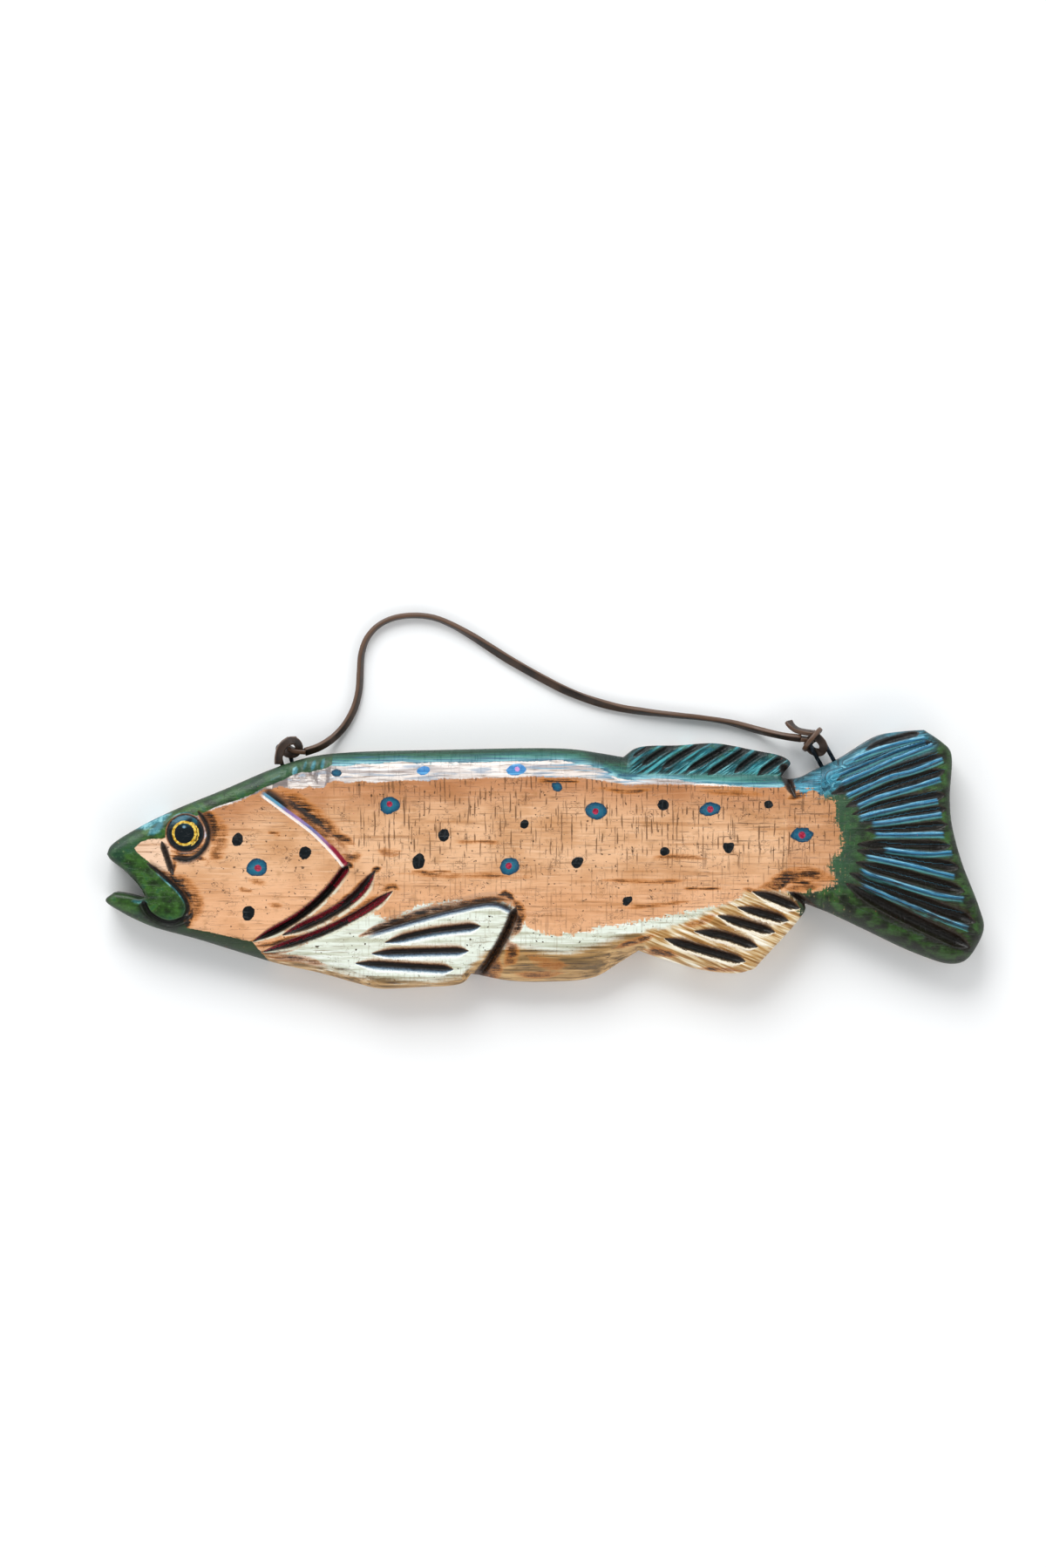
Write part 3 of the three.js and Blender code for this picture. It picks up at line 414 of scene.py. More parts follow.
# Spots: centre, width, height and turn in degrees
BLACK_SPOTS = [
    (-124.3, 8, 4.2, 5.8, -12), (-120, -21.7, 5.2, 6.2, -8), (-97, 2.7, 4.8, 5.4, -25), (-51.1, -0.7, 5, 6.9, -18),
    (-40.8, 9.9, 4.4, 5.2, -14), (-8.3, 14.2, 3.2, 3.9, -30), (13.2, -1.1, 3.9, 5.3, -38), (33, -17, 3.3, 4, -30),
    (34.4, -15.9, 2, 1.7, 0), (48, 22, 4.4, 4.4, 0), (48.2, 3.3, 4.4, 3.6, 0), (73.4, 5.4, 2.9, 3.4, 20),
    (75.2, 5.5, 2.6, 3.2, -20), (74.1, 4.1, 2.8, 3, 0), (90.5, 22.2, 3.7, 3.3, 10),
]
TEAL_SPOTS = [
    (-116.5, -3.2, 8.2, 7.6, 20), (-62.8, 21.9, 8, 7.2, 15), (-14.1, -2.8, 8, 7, 12), (20.7, 19.6, 8.6, 6.8, 8),
    (66.7, 20.3, 9, 5.6, 8), (103.8, 10, 9, 5.8, 6), (-84.5, 35, 4.8, 2.9, 0), (4.9, 29.4, 4.6, 3.8, 0),
]
SKY_SPOTS = [(-11.7, 36.3, 8.2, 4.5, 6), (-49.2, 36, 5.4, 3.5, 4)]
HEARTS = [
    (-116.1, -3.4, 2.9), (-62.9, 22.3, 2.4), (-14.5, -2.6, 2.7), (20.5, 19.5, 2.6), (66.9, 20.4, 2.6), (104, 10, 3.1),
    (-11.2, 36.6, 2.2),
]

# Brown stain, and pale painted highlights, as soft strokes: path, half width and strength
STAINS = [
    ([(-106.5, 25.8), (-101, 21.8), (-95, 17.8), (-90, 13.4), (-86.4, 9.6)], 2.5, 1.15),
    ([(-113, 28.2), (-104, 25.2), (-96, 20), (-89, 14), (-83, 8), (-79.6, 3)], 4.6, 0.62),
    ([(-104, 22), (-97, 16), (-90, 10.4), (-83.6, 4)], 3, 0.5),
    ([(-88, 9.4), (-82, 8.8), (-77, 6.2)], 2.2, 0.8), ([(-82, 2), (-78, 0.6), (-74, 2)], 2.6, 0.55),
    ([(-81, -1.2), (-77.6, -3.2)], 1.8, 1), ([(-70, -4.6), (-66.6, -3.6)], 1.6, 0.9),
    ([(-66, -12.4), (-61, -10.8), (-58.6, -12.4)], 1.5, 0.9), ([(-86, -19.6), (-78, -13), (-71, -6)], 1.3, 0.55),
    ([(-84, -25), (-74, -18.6), (-66, -13)], 1.4, 0.6),
    ([(-119, -33), (-110, -30.4), (-102, -26.6)], 1.5, 0.8), ([(-119, -35.4), (-108, -33.6), (-98, -29.8)], 1.3, 0.85),
    ([(-118, -37.6), (-108, -37.4), (-96, -33.6)], 1.4, 0.75), ([(-113, -39.8), (-100, -40.2), (-88, -43)], 2, 0.6),
    ([(-139, 20.4), (-136, 17.4), (-133.6, 12), (-134.4, 6.4)], 3.4, 0.95),
    ([(-134, 18.8), (-131.4, 13), (-132.4, 3), (-137, -2)], 4.4, 0.52),
    ([(-151.6, 1.7), (-146, 0.9), (-140, 0.6), (-134.6, -1)], 1.1, 1.25),
    ([(-151, 3.6), (-146, 2.4), (-140.6, 3.4), (-137.4, 7)], 1.9, 0.72), ([(-139.6, 2), (-136.6, 6.6)], 0.8, 1.2),
    ([(-155.4, 8.2), (-154, 9.8), (-153.6, 12.6)], 1, 0.7), ([(-150.6, -6), (-149.6, -1), (-150.4, 1.6)], 1, 0.8),
    ([(-156.6, -4.6), (-151.6, -7.4), (-146.4, -11.4), (-143.4, -16), (-142.8, -20)], 2.6, 1.05),
    ([(-154, -6.4), (-148, -8.4), (-143, -13), (-141, -19), (-143, -27)], 4.2, 0.55),
    ([(-142.6, -19.6), (-144, -24.6), (-146.4, -28.4)], 2, 1.1), ([(-144, -29.4), (-134, -31), (-124, -33.4)], 1.5, 0.5),
    ([(-75, -31), (-66, -27.4), (-58, -24.4), (-51, -22)], 2, 1.2),
    ([(-62, -26.4), (-50, -21.6), (-38, -19), (-28, -17.4)], 2.3, 0.75),
    ([(-40, -19.4), (-30, -17.4), (-20, -16), (-14, -16.6)], 1.8, 0.8), ([(-19, -14.6), (-15.6, -13.8), (-12.4, -16.4)], 1.6, 1.1),
    ([(-13, -16), (-9.6, -20.4), (-9.6, -26)], 2.4, 0.72), ([(-11.6, -21), (-10.4, -26), (-13.6, -32)], 1.9, 1.05),
    ([(-15, -33), (-13, -38), (-16, -43)], 3.4, 0.8), ([(-19, -40), (-21, -46), (-26, -48)], 3.8, 0.75),
    ([(-8, -38), (0, -42), (10, -43)], 3, 0.42), ([(-14, -46), (-4, -47), (8, -46)], 1.8, 0.55),
    ([(85, -12.6), (92, -10), (99, -6.6), (106, -5.6), (113, -7), (119, -8.6)], 3.6, 0.78),
    ([(90, -12.6), (95, -11.2), (99, -8.4), (104, -9.2), (110, -10)], 1.5, 0.98),
    ([(97, -12), (104, -11.4), (112, -10.4)], 2.2, 0.6), ([(80, -11.6), (86, -13.2), (90, -14.6)], 1.2, 0.7),
    ([(-54, -4.8), (-46, -5.3), (-38, -5)], 1, 0.95), ([(-30, -6), (-15, -6.4)], 0.9, 0.8),
    ([(-60, -5.6), (-40, -6.4), (0, -7)], 1.6, 0.42), ([(-4, 31.9), (6, 32), (14, 31.3)], 1.2, 0.95),
    ([(22, 29), (34, 27.4), (44, 28.6)], 1.2, 0.7), ([(-40, 6.8), (-26, 7), (-14, 6.6)], 0.7, 0.7),
    ([(-68, 3.6), (-62, 2.6), (-58, 3.6)], 2.2, 0.55), ([(-112, 10.6), (-106, 10.2)], 0.7, 0.9),
    ([(42, 0.6), (54, 1.2), (66, 0.4)], 1.3, 0.6), ([(20, -8), (40, -9), (62, -8.4)], 1.1, 0.62),
    ([(56, -12), (72, -11.6)], 0.8, 0.9), ([(30, -19.6), (46, -18.4), (60, -16.6)], 1, 0.6),
    ([(98, 24.6), (103, 26), (107, 27)], 1.8, 0.7), ([(60, 27.6), (76, 27), (92, 26)], 1.8, 0.4),
    ([(40, -36.6), (47, -37.6), (54, -39)], 2.2, 0.7), ([(28, -36), (36, -33.4), (46, -30)], 1.8, 0.72),
    ([(62, -44), (74, -44.8), (80, -45)], 1.3, 0.6), ([(56, -27), (64, -25), (70, -21.6)], 2, 0.5),
    ([(-120, -8), (-112, -10)], 1.6, 0.5), ([(-112, -18), (-106, -19)], 1.3, 0.6), ([(-124, -12), (-118, -13)], 1, 0.6),
]
PAINTED_HIGHLIGHTS = [
    ([(-166, 12), (-159, 15.6), (-151, 18.6)], 3.4, 1), ([(-161, 9.8), (-156.4, 13), (-154.6, 16.6)], 2.6, 0.9),
    ([(-151.6, 16.4), (-146, 18.6), (-141, 17.8)], 1.1, 0.8), ([(-158, -4.6), (-152.4, -9), (-147.4, -14), (-145.4, -19)], 1.3, 1),
    ([(-101.6, 33.8), (-100.6, 37.6)], 1.7, 1), ([(-94.4, 35.8), (-93, 40.4)], 1.4, 1), ([(-90.4, 36.4), (-89.4, 41)], 1.3, 0.9),
    ([(-97.6, 36), (-96.6, 40)], 1.1, 0.7), ([(-168, -16.8), (-160, -17.4)], 1.7, 0.6),
    ([(-85, 38), (-80, 40)], 1.6, 0.6), ([(-112, 31.6), (-106, 34.4)], 1.2, 0.4),
]
SCOOPS = [(-101.6, 34.4, 3.2, 5.2, 0.8), (-94.8, 35, 3, 5.4, 0.9), (-89.2, 35.6, 2.8, 5.4, 0.8), (-83.6, 34, 3, 4, 0.4)]


def over(points, table):
    """How far above an edge each point is."""
    x, y = np.array(table, float).T
    return points[:, 1] - np.interp(points[:, 0], x, y)


def spots(points, table):
    """How far inside the nearest spot of a table each point is."""
    best = np.full(len(points), -9.0)
    for x, y, width, height, turn in table:
        angle = math.radians(turn)
        dx, dy = points[:, 0] - x, points[:, 1] - y
        u = (dx * math.cos(angle) + dy * math.sin(angle)) * 2 / width
        v = (dy * math.cos(angle) - dx * math.sin(angle)) * 2 / height
        best = np.maximum(best, (1 - np.hypot(u, v)) * min(width, height) / 2)
    return best


def strokes(points, table):
    """How strongly soft brush strokes cover each point."""
    total = np.zeros(len(points))
    for path, half, strength in table:
        line = smooth(path, 1.5)
        near = np.flatnonzero(((points > line.min(0) - half) & (points < line.max(0) + half)).all(1))
        away, run = along(points[near], line)
        length = np.linalg.norm(np.diff(line, axis=0), axis=1).sum()
        ends = 0.35 + 0.65 * ease(np.minimum(run, length - run), -0.5, 0.3 * length)
        total[near] = np.maximum(total[near], strength * ends * np.clip(1.3 - 1.3 * np.abs(away) / half / ends, 0, 1))
    return total


def ripple(run, step, seed):
    """A random zigzag along a line, from -1 to 1."""
    values = np.random.default_rng(seed).uniform(-1, 1, int(run.max() / step) + 2)
    return np.interp(run / step, np.arange(len(values)), values)


class Face:
    """The carved side: for points inside the outline their height and every field that the paint follows."""

    def __init__(self, points):
        self.points = points
        self.inset, self.rim, self.run = rim_at(points)
        self.inset = np.maximum(self.inset, 0)
        self.cuts = {}
        groups = {
            "tail_cut": TAIL_CUTS, "anal": ANAL_CUTS, "pectoral": PECTORAL_CUTS, "dorsal": DORSAL_CUTS,
            "gill": [GILL_CUT], "slit_a": SLITS[:1], "slit_b": SLITS[1:2], "slit_c": SLITS[2:], "socket": [SOCKET_CUT], "snout": [SNOUT_CUT], "hinge": [HINGE_CUT],
            "jaw": [JAW_CUT], "fin_top": [FIN_TOP_CUT], "fin_rear": [FIN_REAR_CUT], "root": [ROOT_CUT],
            "notch": [NOTCH_CUT],
        }
        for name, rows in groups.items():
            self.cuts[name] = [Cut(points, *row) for row in rows]
        self.eye = np.hypot(*(points - EYE).T)

    def height(self):
        facets = ripple(self.run, 7, 3)
        drop = rim_drop(self.inset, self.rim) * (1 + 0.07 * facets)
        ring, half, depth = EYE_RING
        dips = [cut.depth for cuts in self.cuts.values() for cut in cuts]
        dips.append(depth * np.clip(1 - np.abs(self.eye - ring) / half, 0, 1))
        for x, y, width, height, deep in SCOOPS:
            away = np.hypot((self.points[:, 0] - x) / width, (self.points[:, 1] - y) / height)
            dips.append(deep * np.clip(1 - away**2, 0, 1))
        dome = 0.5 * np.clip(1 - (self.eye / ring)**2, 0, 1) - 0.5 * (self.eye < ring)
        return np.maximum(BOARD - drop - shelf_drop(self.points) - np.max(dips, axis=0) + dome, 3)

    def place(self, name):
        """How far across the nearest cut of a group each point is, 1 being its edge, and on which side: 1 is left."""
        place = np.array([cut.place for cut in self.cuts[name]])
        place = np.take_along_axis(place, np.abs(place).argmin(0)[None], 0)[0]
        return np.minimum(np.abs(place), 9), np.clip(4 * place, -1, 1)

    def ridges(self):
        """How far each point is from the nearest ridge of the tail, how far along it, and how strongly its blue paint
        and painted highlight show there.
        """
        x = self.points[:, 0]
        ridge, run, ridge_blue_and_highlight = np.full(len(x), 9.0), np.zeros(len(x)), np.zeros(len(x))
        for row, strength in zip(RIDGES, RIDGE_BLUE_AND_HIGHLIGHT):
            line = smooth(row, 1.5)
            across, place = along(self.points, line)
            length = np.linalg.norm(np.diff(line, axis=0), axis=1).sum()
            closer = np.abs(across) < np.abs(ridge)
            ridge[closer] = across[closer]
            run[closer] = place[closer] + line[0, 1] * 3
            ridge_blue_and_highlight[closer] = (strength * ease(place, 0, 6) * ease(length - place, 0, 2.5))[closer]
        return np.clip(ridge, -4, 4), run, ridge_blue_and_highlight

    def fields(self):
        p, cuts = self.points, self.cuts
        x, y = p.T
        best = lambda *values: np.max(values, axis=0)
        field = {"inset": self.inset}
        for name in cuts:
            field[name], field[name + "_side"] = self.place(name)
        gill, top = cuts["gill"][0], cuts["fin_top"][0]
        field["gill_off"] = np.clip(gill.across, -9, 9)
        field["gill_run"] = gill.run
        field["gill_on"] = ease(gill.run, 0, 2.5) * ease(gill.length - gill.run, 0, 1.5) * (np.abs(gill.across) < 8)
        field["fin_edge"] = np.clip(top.across, -4, 4)
        field["fin_on"] = ease(top.run, 0, 6) * ease(top.length - top.run, 0, 2) * (np.abs(top.across) < 3.5)
        field["head"] = region(p, HEAD_GREEN)
        field["tail"] = region(p, TAIL_GREEN)
        field["belly"] = region(p, BELLY)
        field["white"] = np.where(x < 98, over(p, WHITE_EDGE), -9)
        field["blue"] = np.where((x > -90) & (x < 98), over(p, BLUE_EDGE), -9)
        field["green"] = over(p, GREEN_EDGE)
        field["wash"] = np.where(x < 62, np.clip(-over(p, WASH_EDGE), -9, 9), -9)
        field["anal_fin"] = region(p, ANAL_FIN)
        field["stain"] = strokes(p, STAINS)
        field["painted_highlight"] = strokes(p, PAINTED_HIGHLIGHTS)
        ridge, run, ridge_blue_and_highlight = self.ridges()
        field["ridge"], field["ridge_blue_and_highlight"] = ridge, ridge_blue_and_highlight
        fan, fin, rear = x > 112, shelf_drop(p) > 0.3, field["anal_fin"] > -2
        field["flow"] = np.select([fan, fin, rear], [run, 0.81 * x + 0.58 * y, 0.92 * x - 0.39 * y], x)
        field["weft"] = np.select([fan, fin, rear], [ridge, 0.81 * y - 0.58 * x, 0.39 * x + 0.92 * y], y)
        runs = [cuts[name][0].run for name in ("slit_a", "slit_b", "slit_c")]
        bands = [cuts[name][0].band for name in ("slit_a", "slit_b", "slit_c")]
        field["crimson"] = best(
            bands[0](-1.1, -0.5) * ease(runs[0], 22, 30), bands[0](0, 0.9) * ease(runs[0], 13, 8),
            0.55 * bands[0](-1.2, -0.7), bands[1](-1, -0.1) * ease(runs[1], 14, 24),
            0.8 * bands[1](0.3, 1) * ease(runs[1], 20, 12), bands[2](-0.5, 0.8) * ease(runs[2], 26, 18),
            0.85 * bands[2](-1, 0) * ease(runs[2], 18, 28))
        field["spot"] = spots(p, BLACK_SPOTS)
        field["teal"] = spots(p, TEAL_SPOTS)
        field["sky"] = spots(p, SKY_SPOTS)
        field["heart"] = spots(p, [(hx, hy, size, size, 0) for hx, hy, size in HEARTS])
        field["pupil"] = 7.3 - np.hypot(x + 145.5, y - 10.7)
        ring = np.hypot(x + 145.8, (y - 10.6) * 0.98)
        second = np.hypot(x + 145.2, (y - 10.4))
        field["iris"] = best(0.5 - np.abs(ring - 4.5), np.where(x > -143, 0.28 - np.abs(second - 5.1), -9))
        field["glint"] = 1 - np.hypot((x + 145.9) / 1.1, (y - 13.2) / 0.8)
        field["facet_highlight"] = region(p, EYE_FACET_HIGHLIGHT)
        field["marks"] = ease(x, -96, -70) * (0.4 + 0.6 * ease(y, -8, 6))
        field["raw"] = np.zeros(len(x))
        return field


def make_object(name, vertices, faces, material, fields=None):
    mesh = bpy.data.meshes.new(name)
    mesh.from_pydata([tuple(v) for v in np.asarray(vertices) * MM], [], [tuple(int(i) for i in f) for f in faces])
    mesh.update()
    mesh.polygons.foreach_set("use_smooth", [True] * len(mesh.polygons))
    for key, values in (fields or {}).items():
        mesh.attributes.new(key, "FLOAT", "POINT").data.foreach_set("value", np.asarray(values, np.float32))
    obj = bpy.data.objects.new(name, mesh)
    bpy.context.scene.collection.objects.link(obj)
    mesh.materials.append(material)
    return obj


def board_mesh():
    """The whole fish as vertices, faces and fields: front, side wall, eased back edge and back."""
    count = len(EDGE)
    front = Face(np.vstack([EDGE, front_points()]))
    height = front.height()
    fields = front.fields()
    vertices = [np.column_stack([front.points, height])]
    values = [np.column_stack(list(fields.values()))]
    faces = [triangulate(EDGE, front.points[count:])]
    total = len(front.points)
    above = np.arange(count)
    border = values[0][:count]
    wall = [(0, share) for share in (0.25, 0.5, 0.75, 1)]
    turn = [(BACK_EDGE_INSET * (1 - math.cos(a)), BACK_EDGE_HEIGHT * (1 - math.sin(a)))
            for a in np.radians([30, 60, 90])]
    raw = list(fields).index("raw")
    for inset, place in [*wall, *turn]:
        loop = EDGE if inset == 0 else offset_loop(inset)
        z = height[:count] + place * (BACK_EDGE_HEIGHT - height[:count]) if inset == 0 else np.full(count, place)
        row = border.copy()
        row[:, raw] = 0 if inset == 0 else 0.3 + 0.7 * inset / BACK_EDGE_INSET
        below = total + np.arange(count)
        a, b = above, np.roll(above, -1)
        c, d = np.roll(below, -1), below
        faces.append(np.column_stack([a, d, c]))
        faces.append(np.column_stack([a, c, b]))
        vertices.append(np.column_stack([loop, z]))
        values.append(row)
        above = below
        total += count
    grid, _ = hex_points(BACK_STEP, EDGE.min(0), EDGE.max(0))
    inner = grid[rim_at(grid)[0] > BACK_EDGE_INSET + 0.6 * BACK_STEP]
    back = triangulate(loop, inner)[:, ::-1]
    back = np.where(back < count, back + total - count, back + total - count)
    faces.append(back)
    vertices.append(np.column_stack([inner, np.zeros(len(inner))]))
    filler = np.tile(border.mean(0), (len(inner), 1))
    filler[:, raw] = 1
    values.append(filler)
    table = np.vstack(values)
    return np.vstack(vertices), np.vstack(faces), {key: table[:, i] for i, key in enumerate(fields)}



class Signal:
    """A number or colour that varies over a surface, as a socket of one material's nodes."""

    def __init__(self, finish, socket):
        self.finish, self.socket = finish, socket

    def __add__(self, other):
        return self.finish.math("ADD", self, other)

    __radd__ = __add__

    def __sub__(self, other):
        return self.finish.math("SUBTRACT", self, other)

    def __rsub__(self, other):
        return self.finish.math("SUBTRACT", other, self)

    def __mul__(self, other):
        return self.finish.math("MULTIPLY", self, other)

    __rmul__ = __mul__

    def max(self, other):
        return self.finish.math("MAXIMUM", self, other)

    def ease(self, low, high):
        """Rises from 0 to 1, or falls from 1 to 0, as the signal passes between low and high."""
        node = self.finish.add("ShaderNodeMapRange", interpolation_type="SMOOTHSTEP")
        self.finish.feed(node.inputs["Value"], self)
        ends = (0, 1) if low < high else (1, 0)
        for key, value in zip(("From Min", "From Max", "To Min", "To Max"), (min(low, high), max(low, high), *ends)):
            node.inputs[key].default_value = value
        return Signal(self.finish, node.outputs["Result"])


def srgb(code):
    """A colour from its hex code, as Blender's linear values."""
    parts = [int(code[i:i + 2], 16) / 255 for i in (1, 3, 5)]
    return [*(c / 12.92 if c <= 0.04045 else ((c + 0.055) / 1.055)**2.4 for c in parts), 1]


class Finish:
    """One procedural material. Its coordinates are in millimetres of the part."""

    def __init__(self, name):
        self.material = bpy.data.materials.new(name)
        self.material.use_nodes = True
        self.tree = self.material.node_tree
        self.shader = self.tree.nodes["Principled BSDF"]
        scaled = self.add("ShaderNodeVectorMath", operation="SCALE")
        self.feed(scaled.inputs[0], Signal(self, self.add("ShaderNodeTexCoord").outputs["Object"]))
        scaled.inputs["Scale"].default_value = 1 / MM
        self.place = Signal(self, scaled.outputs["Vector"])

    def add(self, kind, **settings):
        node = self.tree.nodes.new(kind)
        for key, value in settings.items():
            setattr(node, key, value)
        return node

    def feed(self, socket, value):
        if isinstance(value, Signal):
            self.tree.links.new(value.socket, socket)
        else:
            socket.default_value = srgb(value) if isinstance(value, str) else value

    def math(self, operation, *values):
        node = self.add("ShaderNodeMath", operation=operation)
        for socket, value in zip(node.inputs, values):
            self.feed(socket, value)
        return Signal(self, node.outputs[0])

    def field(self, name):
        return Signal(self, self.add("ShaderNodeAttribute", attribute_name=name).outputs["Fac"])

    def axis(self, letter):
        node = self.add("ShaderNodeSeparateXYZ")
        self.feed(node.inputs[0], self.place)
        return Signal(self, node.outputs[letter])

    def brushed(self, along, across, shift, detail=3):
        """Noise drawn out along the brush strokes."""
        node = self.add("ShaderNodeCombineXYZ")
        self.feed(node.inputs[0], self.field("flow") * along)
        self.feed(node.inputs[1], self.field("weft") * across)
        node.inputs[2].default_value = shift
        noise = self.add("ShaderNodeTexNoise")
        self.tree.links.new(node.outputs[0], noise.inputs["Vector"])
        noise.inputs["Scale"].default_value = 1
        noise.inputs["Detail"].default_value = detail
        return Signal(self, noise.outputs["Fac"])

    def stretched(self, x, y, z, shift=0):
        """The place, scaled by three factors and moved, as the input of a texture."""
        node = self.add("ShaderNodeMapping")
        self.feed(node.inputs["Vector"], self.place)
        node.inputs["Scale"].default_value = (x, y, z)
        node.inputs["Location"].default_value = (shift, 1.7 * shift, 0)
        return Signal(self, node.outputs["Vector"])

    def noise(self, x, y, z, shift=0, detail=3, warp=0, rough=0.5):
        """Noise with the given number of features per millimetre along each axis."""
        node = self.add("ShaderNodeTexNoise")
        self.feed(node.inputs["Vector"], self.stretched(x, y, z, shift))
        for key, value in (("Scale", 1), ("Detail", detail), ("Distortion", warp), ("Roughness", rough)):
            node.inputs[key].default_value = value
        return Signal(self, node.outputs["Fac"])

    def mix(self, under, over, share):
        node = self.add("ShaderNodeMix", data_type="RGBA")
        self.feed(node.inputs[0], share)
        self.feed(node.inputs[6], under)
        self.feed(node.inputs[7], over)
        return Signal(self, node.outputs[2])

    def glaze(self, under, over, share):
        node = self.add("ShaderNodeMix", data_type="RGBA", blend_type="MULTIPLY")
        self.feed(node.inputs[0], share)
        self.feed(node.inputs[6], under)
        self.feed(node.inputs[7], over)
        return Signal(self, node.outputs[2])

    def coat(self, under, signal, stops, share=1):
        """Paint over a colour, in bands of a signal: each stop is a value, a colour and how much it covers."""
        low, high = stops[0][0], stops[-1][0]
        node = self.add("ShaderNodeValToRGB")
        self.feed(node.inputs["Fac"], (signal - low) * (1 / (high - low)))
        elements = node.color_ramp.elements
        for value, _, _ in stops[1:-1]:
            elements.new((value - low) / (high - low))
        for element, (_, colour, cover) in zip(elements, stops):
            element.color = [*srgb(colour)[:3], cover]
        return self.mix(under, Signal(self, node.outputs["Color"]), Signal(self, node.outputs["Alpha"]) * share)

    def across(self, under, name, rag, stops):
        """Paint in bands across the cuts of a group: stops below 0 are on their right side, above 0 on their left."""
        away, side = self.field(name) + rag, self.field(name + "_side")
        middle = next(stop for stop in stops if stop[0] == 0)
        under = self.coat(under, away, [stop for stop in stops if stop[0] >= 0], side.ease(-0.2, 0.2))
        right = [(-value, colour, cover) for value, colour, cover in reversed(stops) if value <= 0]
        under = self.coat(under, away, right, side.ease(0.2, -0.2))
        return self.coat(under, away, [(0.1, middle[1], middle[2]), (0.5, middle[1], 0)])

    def finish(self, colour, roughness, relief=None, relief_depth=1.0, **plain):
        self.feed(self.shader.inputs["Base Color"], colour)
        self.feed(self.shader.inputs["Roughness"], roughness)
        for key, value in plain.items():
            self.shader.inputs[key.replace("_", " ")].default_value = value
        if relief is not None:
            bump = self.add("ShaderNodeBump")
            bump.inputs["Strength"].default_value = 1
            bump.inputs["Distance"].default_value = relief_depth * MM
            self.feed(bump.inputs["Height"], relief)
            self.tree.links.new(bump.outputs["Normal"], self.shader.inputs["Normal"])
        return self.material


